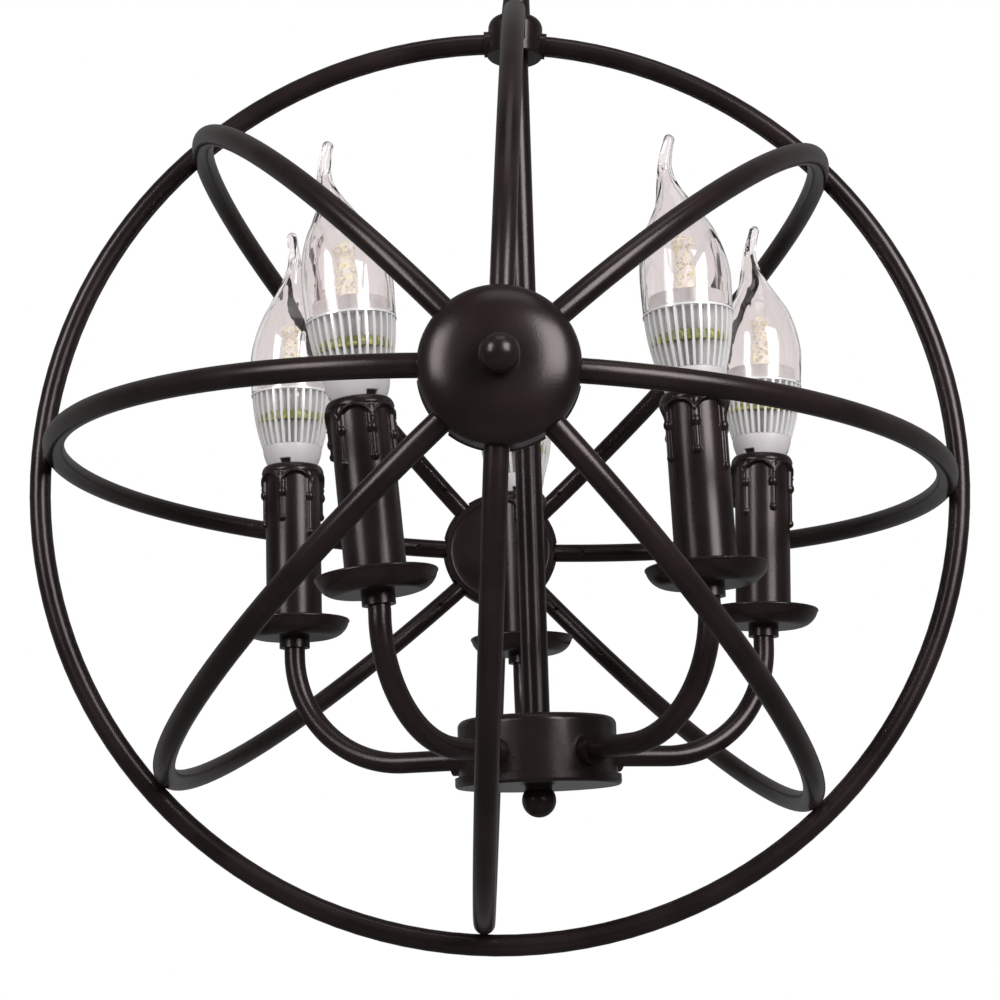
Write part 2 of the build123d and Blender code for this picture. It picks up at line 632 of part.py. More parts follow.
def arm_collar():
    """Collar on the outside of the lower hub, hollowed to its round side."""
    end = HUB_CUP_RADIUS + ARM_COLLAR_LENGTH
    ring = bar(ARM_COLLAR_RADIUS, HUB_CUP_BORE, end) - bar(TUBE_RADIUS + FIT, HUB_CUP_BORE, end)
    return Pos(0, 0, -ARM_DROP) * ring - rod(HUB_CUP_RADIUS, -HUB_LINE_DROP, -HUB_TOP_DROP)


def arm_nut():
    """Hexagon nut, flat side down, that draws an arm against the inside of the lower hub."""
    half = ARM_NUT_ACROSS / 2 / cos(pi / 6)
    face = sqrt(HUB_CUP_BORE**2 - half**2)
    nut = hex_nut(ARM_NUT_ACROSS, TUBE_RADIUS + FIT, face - ARM_NUT_HEIGHT, face)
    return Pos(0, 0, -ARM_DROP) * Rot(0, 90, 0) * Rot(0, 0, 30) * nut


def drip_pan():
    """Shallow bowl under a candle: flat floor, curved side and a rolled lip."""
    top = PAN_BOTTOM + PAN_DEPTH
    bowl = turned(
        Line((TUBE_RADIUS + FIT, PAN_BOTTOM), (PAN_FLOOR_RADIUS, PAN_BOTTOM)),
        swell((PAN_FLOOR_RADIUS, PAN_BOTTOM), (PAN_RADIUS, top), PAN_BULGE),
        Line((PAN_RADIUS, top), (PAN_RADIUS - PAN_WALL, top)),
        swell((PAN_FLOOR_RADIUS, PAN_FLOOR), (PAN_RADIUS - PAN_WALL, top), PAN_BULGE),
        Line((PAN_FLOOR_RADIUS, PAN_FLOOR), (TUBE_RADIUS + FIT, PAN_FLOOR)),
        Line((TUBE_RADIUS + FIT, PAN_FLOOR), (TUBE_RADIUS + FIT, PAN_BOTTOM)),
    )
    return bowl + Pos(0, 0, top) * Torus(PAN_RADIUS - PAN_WALL / 2, PAN_LIP_RADIUS)


def pan_nut():
    return pipe(PAN_NUT_RADIUS, TUBE_RADIUS + FIT, PAN_BOTTOM - PAN_NUT_HEIGHT, PAN_BOTTOM)


def wax_shoulder():
    """Soft ring at the candle's top, cut into arches between the drips."""
    low = CANDLE_TOP - WAX_BAND
    shoulder = CANDLE_TOP - WAX_SHOULDER
    crest = WAX_RADIUS - WAX_ROUND
    wax = turned(
        Line((0, low), (WAX_RADIUS, low)),
        Line((WAX_RADIUS, low), (WAX_RADIUS, shoulder)),
        EllipticalCenterArc((crest, shoulder), WAX_ROUND, WAX_SHOULDER),
        Line((crest, CANDLE_TOP), (0, CANDLE_TOP)),
        Line((0, CANDLE_TOP), (0, low)),
    )
    count = len(WIDE_LENGTHS)
    arch_radius = (2 * pi * WAX_RADIUS / count - ARCH_GAP) / 2
    for opening in around(count, bar(arch_radius, 0, 2 * WAX_RADIUS), 180 / count):
        wax -= Pos(0, 0, low) * opening
    return wax


def drip(stage, length):
    """One stage of a drip: a run of wax that ends in a bead."""
    half_width, relief, bead_radius = stage
    end = CANDLE_TOP - length + bead_radius
    run = rod(half_width, end, CANDLE_TOP - WAX_SHOULDER, CANDLE_RADIUS + relief - half_width)
    return run + Pos(CANDLE_RADIUS + relief - half_width, 0, end) * Sphere(bead_radius)


def candle_cover():
    """Tube with a soft wax shoulder and wax drips of uneven length, each in two stages."""
    cover = rod(CANDLE_RADIUS, PAN_FLOOR, CANDLE_TOP) + wax_shoulder()
    for step, (wide, thin) in enumerate(zip(WIDE_LENGTHS, THIN_LENGTHS)):
        wax = drip(WIDE_DRIP, wide) + drip(THIN_DRIP, thin)
        cover += Rot(0, 0, step * 360 / len(WIDE_LENGTHS)) * wax
    return cover - rod(CANDLE_RADIUS - CANDLE_WALL, PAN_FLOOR, CANDLE_TOP)


def lamp_holder():
    """Foot on the arm's end, slim stem, and the wide socket that takes the screw cap."""
    foot_top = PAN_FLOOR + HOLDER_FOOT
    socket_bottom = HOLDER_MOUTH - HOLDER_SOCKET
    holder = rod(HOLDER_FOOT_RADIUS, PAN_FLOOR, foot_top)
    holder += rod(HOLDER_STEM_RADIUS, foot_top, socket_bottom)
    holder += rod(HOLDER_RADIUS, socket_bottom, HOLDER_MOUTH)
    holder -= rod(CAP_RADIUS + BULB_CLEARANCE, HOLDER_MOUTH - CAP_LENGTH - CAP_TIP - BULB_CLEARANCE, HOLDER_MOUTH)
    holder -= rod(TUBE_RADIUS + FIT, PAN_FLOOR, ARM_TOP)
    return holder - rod(WIRE_RADIUS + FIT, PAN_FLOOR, ARM_TOP + ARM_IN_HOLDER)


# ---- bulb, on its own axis with height 0 at the candle's top

def bulb_base():
    """White base with slots, its screw cap, the circuit board and the LED column."""
    body = turned(
        Line((0, -HOLDER_RECESS), (BASE_FOOT_RADIUS, -HOLDER_RECESS)),
        Line((BASE_FOOT_RADIUS, -HOLDER_RECESS), (BASE_FOOT_RADIUS, 0)),
        swell((BASE_FOOT_RADIUS, 0), (BASE_TOP_RADIUS, BASE_HEIGHT), BASE_BULGE),
        Line((BASE_TOP_RADIUS, BASE_HEIGHT), (0, BASE_HEIGHT)),
        Line((0, BASE_HEIGHT), (0, -HOLDER_RECESS)),
    )
    slot = Pos(BASE_TOP_RADIUS - BASE_SLOT_DEPTH, 0, BASE_SLOT_HEIGHT / 2 + FIT)
    slot *= Box(2 * BASE_SLOT_DEPTH, BASE_SLOT_WIDTH, BASE_SLOT_HEIGHT)
    for cut in around(BASE_SLOTS, slot):
        body -= cut
    cap_end = -HOLDER_RECESS - CAP_LENGTH
    cap = rod(CAP_RADIUS, cap_end, -HOLDER_RECESS)
    cap = chamfer(cap.edges().group_by(Axis.Z)[0], CAP_TIP / 2)
    cap += rod(CAP_TIP_RADIUS, cap_end - CAP_TIP, cap_end)
    board_bottom = BASE_HEIGHT + (SINK_HEIGHT - BOARD_THICKNESS) / 2
    board = pipe(BOARD_RADIUS, BOARD_RADIUS - BOARD_DEPTH, board_bottom, board_bottom + BOARD_THICKNESS)
    column = Pos(0, 0, FLANGE_TOP + BAND_HEIGHT) * RegularPolygon(LED_RADIUS, LED_SIDES)
    return [body, cap, board, extrude(column, LED_HEIGHT)]


def heat_sink():
    """Finned aluminium body with the flange and the polished band that the glass hides."""
    foot = BASE_HEIGHT
    core_mid = SINK_CORE_FOOT / 2
    core = turned(
        Line((0, foot), (SINK_CORE_FOOT, foot)),
        Line((SINK_CORE_FOOT, foot), (SINK_CORE_TOP, FLANGE_TOP - SINK_CORE_CREST)),
        Line((SINK_CORE_TOP, FLANGE_TOP - SINK_CORE_CREST), (SINK_CORE_TOP, FLANGE_TOP)),
        Line((SINK_CORE_TOP, FLANGE_TOP), (0, FLANGE_TOP)),
        Line((0, FLANGE_TOP), (0, foot)),
    )
    fin_top = FLANGE_TOP - FLANGE_THICKNESS
    outline = make_face([
        Line((core_mid, foot), (SINK_FOOT_RADIUS, foot)),
        swell((SINK_FOOT_RADIUS, foot), (SINK_TOP_RADIUS, fin_top), SINK_BULGE),
        Line((SINK_TOP_RADIUS, fin_top), (core_mid, fin_top)),
        Line((core_mid, fin_top), (core_mid, foot)),
    ])
    fin = extrude(Plane.XZ * outline, FIN_THICKNESS / 2, both=True)
    band = rod(BAND_RADIUS, FLANGE_TOP, FLANGE_TOP + BAND_HEIGHT)
    band = fillet(band.edges().group_by(Axis.Z)[-1], BAND_ROUND)
    body = core + around(FIN_COUNT, fin) + rod(FLANGE_RADIUS, fin_top, FLANGE_TOP) + band
    slot_bottom = foot + (SINK_HEIGHT - BOARD_THICKNESS) / 2 - FIT
    slot_top = slot_bottom + BOARD_THICKNESS + 2 * FIT
    return body - pipe(BOARD_RADIUS + FIT, BOARD_RADIUS - BOARD_DEPTH - FIT, slot_bottom, slot_top)


def flame(inset, sections):
    """Loft through the flame's sections, each drawn in by `inset`."""
    rings = [Pos(lean, 0, height) * Circle(radius - inset) for height, radius, lean in sections]
    return loft(rings)


def glass():
    """Clear flame: a shell whose leaning tip is solid and ends round."""
    end, tip_radius, tip_lean = FLAME[-1]
    hollow = [section for section in FLAME if section[0] <= end - GLASS_TIP_SOLID]
    shell = flame(0.0, FLAME) + Pos(tip_lean, 0, end) * Sphere(tip_radius)
    return Pos(0, 0, FLANGE_TOP) * (shell - flame(GLASS_WALL, hollow))


# ---- saving

def save(name, place, *solids):
    """Writes one node; several solids become a group of separate solids."""
    placed = [place * solid for solid in solids]
    shape = placed[0] if len(placed) == 1 else Compound(children=placed)
    export_step(shape, f"parts/{name}.step")


def save_cage():
    save("equator_ring", CAGE, equator(TUBE_RADIUS))
    for angle in arc_angles():
        if angle != TOP:
            save(f"arc_{int(angle):03d}", CAGE, side_arc(angle))
    for pole, name in ((-1, "front"), (1, "rear")):
        save(f"top_arc_{name}", CAGE, top_arc(pole))
        save(f"{name}_cup", CAGE, cup(pole))
        save(f"{name}_spider", CAGE, spider(pole))
    save("grub_screws", CAGE, *grub_screws())
    save("front_finial", CAGE, front_finial())
    save("finial_nut", CAGE, finial_nut())
    save("top_hub", CAGE, top_hub())
    save("hub_collars", CAGE, *hub_collars())
    save("hanging_loop", CAGE, hanging_loop())


def save_cluster():
    save("stem", CLUSTER, stem())
    save("stem_nipples", CLUSTER, *stem_nipples())
    save("nipple_nuts", CLUSTER, *nipple_nuts())
    save("hub_cup", CLUSTER, hub_cup())
    save("hub_cover", CLUSTER, hub_cover())
    save("tie_rod", CLUSTER, tie_rod())
    save("terminal_block", CLUSTER, terminal_block())
    save("bottom_finial", CLUSTER, bottom_finial())
    save("arm_collars", CLUSTER, *around(ARM_COUNT, arm_collar(), FIRST_ARM))
    save("arm_nuts", CLUSTER, *around(ARM_COUNT, arm_nut(), FIRST_ARM))


def arm_place(heading):
    """Turns the arm along +X to its own heading."""
    return CLUSTER * Rot(0, 0, heading)


def candle_axis(heading, lean):
    """A candle's axis on the finished cluster, with heights as on the stem."""
    return arm_place(heading) * candle_place(heading, lean)


def save_arms():
    """The arms with their leads, and the group nodes that sit on every arm's end."""
    ways = [(heading, light[1]) for heading, light in zip(headings(), LIGHTS)]
    wires = [Rot(0, 0, heading) * arm_wire(heading, lean) for heading, lean in ways]
    save("wiring", CLUSTER, supply_wire(), *wires)
    for (heading, lean), light in zip(ways, LIGHTS):
        save(f"arm_{light[0]}", arm_place(heading), arm(heading, lean))
    for name, solid in (("drip_pans", drip_pan()), ("pan_nuts", pan_nut()), ("lamp_holders", lamp_holder())):
        copies = [candle_axis(heading, lean) * solid for heading, lean in ways]
        save(name, Pos(0, 0, 0), *copies)


def save_lights():
    """A cover and a bulb for each candle, from the same solids, each turned as photographed."""
    cover = candle_cover()
    base, cap, board, column = bulb_base()
    sink = heat_sink()
    flame_glass = glass()
    for heading, (name, lean, drip_way, slot_way, flame_way) in zip(headings(), LIGHTS):
        axis = candle_axis(heading, lean) * Rot(0, 0, -heading - CLUSTER_TURN)
        bulb = axis * Pos(0, 0, CANDLE_TOP)
        save(f"candle_cover_{name}", axis * Rot(0, 0, drip_way), cover)
        save(f"bulb_{name}_base", bulb * Rot(0, 0, slot_way), base, cap, board, column)
        save(f"bulb_{name}_body", bulb, sink)
        save(f"bulb_{name}_glass", bulb * Rot(0, 0, flame_way), flame_glass)


def main():
    os.makedirs("parts", exist_ok=True)
    save_cage()
    save_cluster()
    save_arms()
    save_lights()
    print("hanging eye above the orb's centre", round(EYE_Z, 3))


main()
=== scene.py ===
"""Looks of the orb chandelier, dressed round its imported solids.

Metres, +Z up, and the origin is the centre of the hanging eye. The viewer's side is -Y.
Sizes of the new pieces are written in millimetres about their own axes, and a Spot carries
them into the row frame.
"""

import logging
import math
from abc import ABC, abstractmethod
from collections.abc import Iterable, Mapping, Sequence
from dataclasses import dataclass, field
from enum import Enum
from typing import Any

import bpy
import numpy as np
from mathutils import Matrix


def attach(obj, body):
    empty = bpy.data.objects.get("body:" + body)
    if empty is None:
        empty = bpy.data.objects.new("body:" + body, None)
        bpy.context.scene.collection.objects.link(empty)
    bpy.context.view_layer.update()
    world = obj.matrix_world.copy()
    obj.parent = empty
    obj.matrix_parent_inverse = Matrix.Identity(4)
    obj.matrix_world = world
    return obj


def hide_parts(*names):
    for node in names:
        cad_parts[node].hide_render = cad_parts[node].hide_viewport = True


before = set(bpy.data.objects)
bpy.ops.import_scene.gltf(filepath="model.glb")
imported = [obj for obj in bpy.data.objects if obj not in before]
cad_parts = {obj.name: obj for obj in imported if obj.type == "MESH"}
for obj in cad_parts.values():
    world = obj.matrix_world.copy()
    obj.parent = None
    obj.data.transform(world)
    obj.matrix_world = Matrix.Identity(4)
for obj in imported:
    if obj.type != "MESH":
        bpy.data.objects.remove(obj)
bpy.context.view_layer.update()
LOG = logging.getLogger("orb_chandelier")
MM = 0.001

Colour = tuple[float, float, float]
Value = Any  # a number, a colour, a vector or a Signal


# ---------------------------------------------------------------- shader maths

class Signal:
    """A value that runs from a shader node's output and takes Python's operators."""

    def __init__(self, paint: "Paint", socket: bpy.types.NodeSocket) -> None:
        """Keeps the paint whose nodes it belongs to, and its output socket."""
        self.paint = paint
        self.socket = socket

    def _math(self, operation: str, *values: Value) -> "Signal":
        """One Math node on the values, in their order."""
        return self.paint.node("ShaderNodeMath", {"operation": operation}, dict(enumerate(values)))

    def __add__(self, other: Value) -> "Signal":
        """self + other."""
        return self._math("ADD", self, other)

    def __radd__(self, other: Value) -> "Signal":
        """other + self."""
        return self._math("ADD", other, self)

    def __rsub__(self, other: Value) -> "Signal":
        """other - self."""
        return self._math("SUBTRACT", other, self)

    def __mul__(self, other: Value) -> "Signal":
        """self * other."""
        return self._math("MULTIPLY", self, other)

    def __rmul__(self, other: Value) -> "Signal":
        """other * self."""
        return self._math("MULTIPLY", other, self)

    def __pow__(self, power: Value) -> "Signal":
        """self to a power."""
        return self._math("POWER", self, power)

    def rise(self, low: float, high: float) -> "Signal":
        """Smooth step from 0 at `low` to 1 at `high`."""
        return self.paint.node(
            "ShaderNodeMapRange",
            {"interpolation_type": "SMOOTHSTEP"},
            {"Value": self, "From Min": low, "From Max": high},
        )

    def part(self, axis: str) -> "Signal":
        """The X, Y or Z part of a vector."""
        return self.paint.node("ShaderNodeSeparateXYZ", {}, {0: self}, axis)


class Paint:
    """A node tree that is built up by calls which return signals."""

    def __init__(self, tree: bpy.types.NodeTree) -> None:
        """Empties the tree and keeps it."""
        self.tree = tree
        self.tree.nodes.clear()

    def node(
        self,
        kind: str,
        settings: Mapping[str, Any] | None = None,
        sockets: Mapping[int | str, Value] | None = None,
        output: int | str = 0,
    ) -> Signal:
        """Makes one node.

        Args:
            kind: The node's type.
            settings: Its own settings; `stops` holds a ramp's places and colours.
            sockets: Values or signals for its inputs, by name or number.
            output: The output that the signal stands for.

        Returns:
            The signal of that output.
        """
        made = self.tree.nodes.new(kind)
        for name, value in (settings or {}).items():
            if name == "stops":
                self._set_stops(made.color_ramp, value)
            else:
                setattr(made, name, value)
        for key, value in (sockets or {}).items():
            if isinstance(value, Signal):
                self.tree.links.new(value.socket, made.inputs[key])
            elif isinstance(value, tuple) and len(value) == 3 and made.inputs[key].type == "RGBA":
                made.inputs[key].default_value = (*value, 1.0)
            else:
                made.inputs[key].default_value = value
        return Signal(self, made.outputs[output])

    @staticmethod
    def _set_stops(ramp: bpy.types.ColorRamp, stops: Sequence[tuple[float, Colour]]) -> None:
        """Gives a ramp its stops, each a place and a colour."""
        for place, colour in stops[2:]:
            ramp.elements.new(place)
        for element, (place, colour) in zip(ramp.elements, stops):
            element.position = place
            element.color = (*colour, 1.0)

    def spot(self, stretch: Sequence[float] = (1.0, 1.0, 1.0)) -> Signal:
        """Object coordinates, stretched along the axes."""
        where = self.node("ShaderNodeTexCoord", output="Object")
        return self.node("ShaderNodeMapping", {}, {"Vector": where, "Scale": tuple(stretch)})

    def noise(self, scale: float, detail: float = 2.0, stretch: Sequence[float] = (1.0, 1.0, 1.0)) -> Signal:
        """Noise from 0 to 1 whose grains are about 1 / scale metres."""
        return self.node(
            "ShaderNodeTexNoise", {}, {"Vector": self.spot(stretch), "Scale": scale, "Detail": detail}
        )

    def blend(self, share: Value, first: Value, second: Value) -> Signal:
        """A colour between two, by a share."""
        return self.node("ShaderNodeMix", {"data_type": "RGBA"}, {0: share, 6: first, 7: second}, 2)

    def attribute(self, name: str) -> Signal:
        """A number that the mesh carries at its points."""
        return self.node("ShaderNodeAttribute", {"attribute_name": name}, {}, "Fac")

    def bump(self, height: Signal, depth: float, strength: float = 1.0) -> Signal:
        """A normal for a height from 0 to 1 whose full depth is in metres."""
        return self.node("ShaderNodeBump", {}, {"Height": height, "Distance": depth, "Strength": strength})

    def surface(self, kind: str, sockets: Mapping[str, Value]) -> None:
        """Ends the tree in a shader of that type."""
        shader = self.node(kind, {}, sockets)
        self.node_out("ShaderNodeOutputMaterial", shader)

    def node_out(self, kind: str, shader: Signal) -> None:
        """Links a shader to the tree's output."""
        out = self.tree.nodes.new(kind)
        self.tree.links.new(shader.socket, out.inputs["Surface"])


# ---------------------------------------------------------------- finishes

class Slot(Enum):
    """The record's material slots."""

    BLACK_COAT = "black_coat"
    ZINC_STEEL = "zinc_steel"
    WHITE_PLASTIC = "white_plastic"
    WIRE_SLEEVE = "wire_sleeve"
    POLISHED_ALUMINIUM = "polished_aluminium"
    CLEAR_GLASS = "clear_glass"


@dataclass(frozen=True)
class Finish(ABC):
    """A finish that can be put on pieces; its material is made once."""

    name: str
    slot: Slot

    @abstractmethod
    def shade(self, paint: Paint) -> None:
        """Builds the finish's nodes."""

    def material(self) -> bpy.types.Material:
        """The finish's material, made at its first use."""
        made = bpy.data.materials.get(self.name)
        if made is None:
            made = bpy.data.materials.new(self.name)
            made.use_nodes = True
            self.shade(Paint(made.node_tree))
        return made


@dataclass(frozen=True)
class PowderCoat(Finish):
    """Satin black-brown powder coat: fine orange peel over a faintly mottled colour."""

    name: str = "satin_powder_coat"
    slot: Slot = Slot.BLACK_COAT
    dark: Colour = (0.0105, 0.0066, 0.0060)
    brown: Colour = (0.0200, 0.0132, 0.0118)
    speck: Colour = (0.034, 0.026, 0.025)
    gloss_low: float = 0.22
    gloss_high: float = 0.29
    lustre: Colour = (1.0, 0.87, 0.90)
    mottle_scale: float = 28.0
    speck_scale: float = 1900.0
    speck_share: float = 0.4
    peel_scale: float = 1300.0
    peel: float = 0.00012

    def shade(self, paint: Paint) -> None:
        """Mottle, a few specks, uneven gloss and the peel's bump."""
        mottle = paint.noise(self.mottle_scale, 4.0)
        specks = paint.noise(self.speck_scale, 1.0).rise(0.74, 0.84)
        grain = paint.noise(self.peel_scale)
        colour = paint.blend(mottle.rise(0.35, 0.70), self.dark, self.brown)
        colour = paint.blend(specks * self.speck_share, colour, self.speck)
        gloss = self.gloss_low + (self.gloss_high - self.gloss_low) * (0.6 * mottle + 0.4 * grain)
        paint.surface("ShaderNodeBsdfPrincipled", {
            "Base Color": colour,
            "Roughness": gloss,
            "Specular Tint": self.lustre,
            "Normal": paint.bump(grain, self.peel, 0.35),
        })


@dataclass(frozen=True)
class ZincSteel(Finish):
    """Zinc-plated steel with a faint passivation tint."""

    name: str = "zinc_plate"
    slot: Slot = Slot.ZINC_STEEL
    pale: Colour = (0.62, 0.62, 0.60)
    tint: Colour = (0.50, 0.49, 0.42)
    cloud_scale: float = 160.0
    line_scale: float = 900.0
    line_stretch: tuple[float, float, float] = (1.0, 1.0, 0.06)
    line_depth: float = 0.00004

    def shade(self, paint: Paint) -> None:
        """Cloudy tint, uneven roughness and drawn lines."""
        cloud = paint.noise(self.cloud_scale, 3.0)
        lines = paint.noise(self.line_scale, 2.0, self.line_stretch)
        paint.surface("ShaderNodeBsdfPrincipled", {
            "Base Color": paint.blend(cloud.rise(0.4, 0.7), self.pale, self.tint),
            "Metallic": 1.0,
            "Roughness": 0.28 + 0.2 * lines,
            "Normal": paint.bump(lines, self.line_depth, 0.5),
        })


@dataclass(frozen=True)
class MouldedPlastic(Finish):
    """Moulded plastic with a slight haze; a mesh attribute paints near-black shade into its openings."""

    name: str = "moulded_white"
    slot: Slot = Slot.WHITE_PLASTIC
    colour: Colour = (0.70, 0.665, 0.68)
    second: Colour = (0.64, 0.60, 0.61)
    # Painted shade: the near-black colour put into the collar's slots, which are drawn in but not cut through.
    inside: Colour = (0.012, 0.010, 0.010)
    roughness: float = 0.32
    haze_scale: float = 90.0
    texture_scale: float = 2200.0
    texture_depth: float = 0.00004

    def shade(self, paint: Paint) -> None:
        """Haze in the colour, painted shade in the openings and the mould's fine texture."""
        haze = paint.noise(self.haze_scale, 3.0)
        texture = paint.noise(self.texture_scale)
        colour = paint.blend(haze, self.colour, self.second)
        # Painted shade: the slots are blended towards the near-black colour.
        colour = paint.blend(paint.attribute("slot_shade"), colour, self.inside)
        paint.surface("ShaderNodeBsdfPrincipled", {
            "Base Color": colour,
            "Roughness": self.roughness + 0.12 * texture,
            "Normal": paint.bump(texture, self.texture_depth, 0.4),
        })


@dataclass(frozen=True)
class WireSleeve(Finish):
    """Matt sleeve of the leads."""

    name: str = "matt_wire_sleeve"
    slot: Slot = Slot.WIRE_SLEEVE
    colour: Colour = (0.020, 0.019, 0.019)
    rubbed: Colour = (0.045, 0.043, 0.042)
    rub_scale: float = 240.0
    rub_depth: float = 0.0001

    def shade(self, paint: Paint) -> None:
        """Rubbed patches on matt black."""
        rub = paint.noise(self.rub_scale, 3.0)
        paint.surface("ShaderNodeBsdfPrincipled", {
            "Base Color": paint.blend(rub.rise(0.5, 0.75), self.colour, self.rubbed),
            "Roughness": 0.55 + 0.2 * rub,
            "Normal": paint.bump(rub, self.rub_depth, 0.3),
        })


@dataclass(frozen=True)
class PolishedAluminium(Finish):
    """Bright aluminium, mostly pale and a little mirroring, with faint turning marks."""

    name: str = "polished_aluminium_body"
    slot: Slot = Slot.POLISHED_ALUMINIUM
    bright: Colour = (0.95, 0.94, 0.94)
    dull: Colour = (0.90, 0.885, 0.885)
    mirror_share: float = 0.14
    cloud_scale: float = 120.0
    mark_scale: float = 500.0
    mark_stretch: tuple[float, float, float] = (0.08, 0.08, 2.5)
    mark_depth: float = 0.00002

    def shade(self, paint: Paint) -> None:
        """Cloudy brightness, with marks that run round the body."""
        cloud = paint.noise(self.cloud_scale, 3.0)
        marks = paint.noise(self.mark_scale, 2.0, self.mark_stretch)
        paint.surface("ShaderNodeBsdfPrincipled", {
            "Base Color": paint.blend(cloud, self.bright, self.dull),
            "Metallic": self.mirror_share,
            "Roughness": 0.12 + 0.12 * marks,
            "Normal": paint.bump(marks, self.mark_depth, 0.25),
        })


@dataclass(frozen=True)
class FlameGlass(Finish):
    """Clear glass with a breath of rose, with painted shade where it is seen edge-on."""

    name: str = "rose_clear_glass"
    slot: Slot = Slot.CLEAR_GLASS
    face: Colour = (0.875, 0.832, 0.828)
    # Painted shade: the darker tint that the glass takes where it is seen edge-on.
    edge: Colour = (0.42, 0.38, 0.38)
    edge_shade_blend: float = 0.30
    edge_shade_power: float = 3.0
    refraction: float = 1.48
    wave_scale: float = 110.0
    wave_stretch: tuple[float, float, float] = (1.0, 1.0, 0.35)
    wave_depth: float = 0.0006

    def shade(self, paint: Paint) -> None:
        """Painted edge shade by the facing angle, and the faint waves of blown glass."""
        facing = paint.node("ShaderNodeLayerWeight", {}, {"Blend": self.edge_shade_blend}, "Facing")
        waves = paint.noise(self.wave_scale, 2.0, self.wave_stretch)
        paint.surface("ShaderNodeBsdfPrincipled", {
            "Base Color": paint.blend(facing**self.edge_shade_power, self.face, self.edge),
            "Roughness": 0.012 + 0.02 * waves,
            "IOR": self.refraction,
            "Transmission Weight": 1.0,
            "Normal": paint.bump(waves, self.wave_depth, 0.35),
        })


@dataclass(frozen=True)
class CircuitBoard(Finish):
    """Green solder mask with copper pads that show as lighter patches."""

    name: str = "green_circuit_board"
    slot: Slot = Slot.WHITE_PLASTIC
    mask: Colour = (0.26, 0.275, 0.075)
    deep: Colour = (0.16, 0.175, 0.050)
    pad: Colour = (0.52, 0.44, 0.14)
    patch_scale: float = 330.0
    pad_scale: float = 520.0
    pad_height: float = 0.0001

    def shade(self, paint: Paint) -> None:
        """Patchy mask and small pads."""
        patch = paint.noise(self.patch_scale)
        pads = paint.noise(self.pad_scale, 0.0).rise(0.60, 0.66)
        colour = paint.blend(patch.rise(0.35, 0.65), self.deep, self.mask)
        paint.surface("ShaderNodeBsdfPrincipled", {
            "Base Color": paint.blend(pads, colour, self.pad),
            "Roughness": 0.3 + 0.15 * patch,
            "Normal": paint.bump(pads, self.pad_height, 0.5),
        })


@dataclass(frozen=True)
class Phosphor(Finish):
    """Yellow phosphor of the LED chips, with a faint painted glow."""

    name: str = "yellow_phosphor"
    slot: Slot = Slot.WHITE_PLASTIC
    warm: Colour = (0.88, 0.66, 0.16)
    pale: Colour = (0.95, 0.86, 0.52)
    # Painted glow: an emission that makes the chips look lit.
    painted_glow: float = 0.35
    grain_scale: float = 1500.0
    grain_depth: float = 0.0001

    def shade(self, paint: Paint) -> None:
        """Grainy yellow with a faint painted glow of its own colour."""
        grain = paint.noise(self.grain_scale)
        colour = paint.blend(grain.rise(0.4, 0.62), self.warm, self.pale)
        paint.surface("ShaderNodeBsdfPrincipled", {
            "Base Color": colour,
            "Roughness": 0.35 + 0.2 * grain,
            "Emission Color": colour,
            "Emission Strength": self.painted_glow,
            "Normal": paint.bump(grain, self.grain_depth, 0.6),
        })


@dataclass(frozen=True)
class CutGlitter(Finish):
    """Cut clear plastic of the light guide, painted with glints in cream and yellow and with shade specks in brown.
    """

    name: str = "cut_light_guide"
    slot: Slot = Slot.WHITE_PLASTIC
    # Painted light and shade: cream and yellow glints, the yellow standing in for the chips seen through the plastic,
    # and brown shade specks.
    painted_glints_and_shade: tuple[tuple[float, Colour], ...] = (
        (0.00, (0.62, 0.54, 0.44)),
        (0.14, (0.78, 0.72, 0.64)),
        (0.34, (0.90, 0.86, 0.82)),
        (0.62, (0.94, 0.91, 0.89)),
        (0.86, (0.95, 0.90, 0.66)),
        (1.00, (0.97, 0.93, 0.58)),
    )
    # Painted glow: an emission of the glint colours.
    painted_glow: float = 0.22
    cell_scale: float = 880.0
    cell_depth: float = 0.0003

    def shade(self, paint: Paint) -> None:
        """Small cells, each with its own painted glint or shade colour, with their edges in the bump."""
        voronoi = {"Vector": paint.spot(), "Scale": self.cell_scale}
        cells = paint.node("ShaderNodeTexVoronoi", {}, voronoi, "Color").part("X")
        # Each cell takes a painted glint or shade colour from the ramp.
        colour = paint.node("ShaderNodeValToRGB", {"stops": self.painted_glints_and_shade}, {"Fac": cells})
        paint.surface("ShaderNodeBsdfPrincipled", {
            "Base Color": colour,
            "Roughness": 0.12 + 0.2 * cells,
            "Emission Color": colour,
            "Emission Strength": self.painted_glow,
            "Normal": paint.bump(cells, self.cell_depth, 0.6),
        })


@dataclass(frozen=True)
class NickelShell(Finish):
    """Rolled nickel-plated shell of the screw cap."""

    name: str = "nickel_screw_shell"
    slot: Slot = Slot.WHITE_PLASTIC
    bright: Colour = (0.72, 0.70, 0.66)
    worn: Colour = (0.52, 0.48, 0.40)
    wear_scale: float = 260.0
    wear_depth: float = 0.00005

    def shade(self, paint: Paint) -> None:
        """Worn patches and a soft sheen."""
        wear = paint.noise(self.wear_scale, 3.0)
        paint.surface("ShaderNodeBsdfPrincipled", {
            "Base Color": paint.blend(wear.rise(0.45, 0.7), self.bright, self.worn),
            "Metallic": 1.0,
            "Roughness": 0.24 + 0.22 * wear,
            "Normal": paint.bump(wear, self.wear_depth, 0.4),
        })


# ---------------------------------------------------------------- meshes

def turn(axis: str, degrees: float) -> np.ndarray:
    """4x4 matrix of a right-handed turn about X, Y or Z."""
    return np.array(Matrix.Rotation(math.radians(degrees), 4, axis))


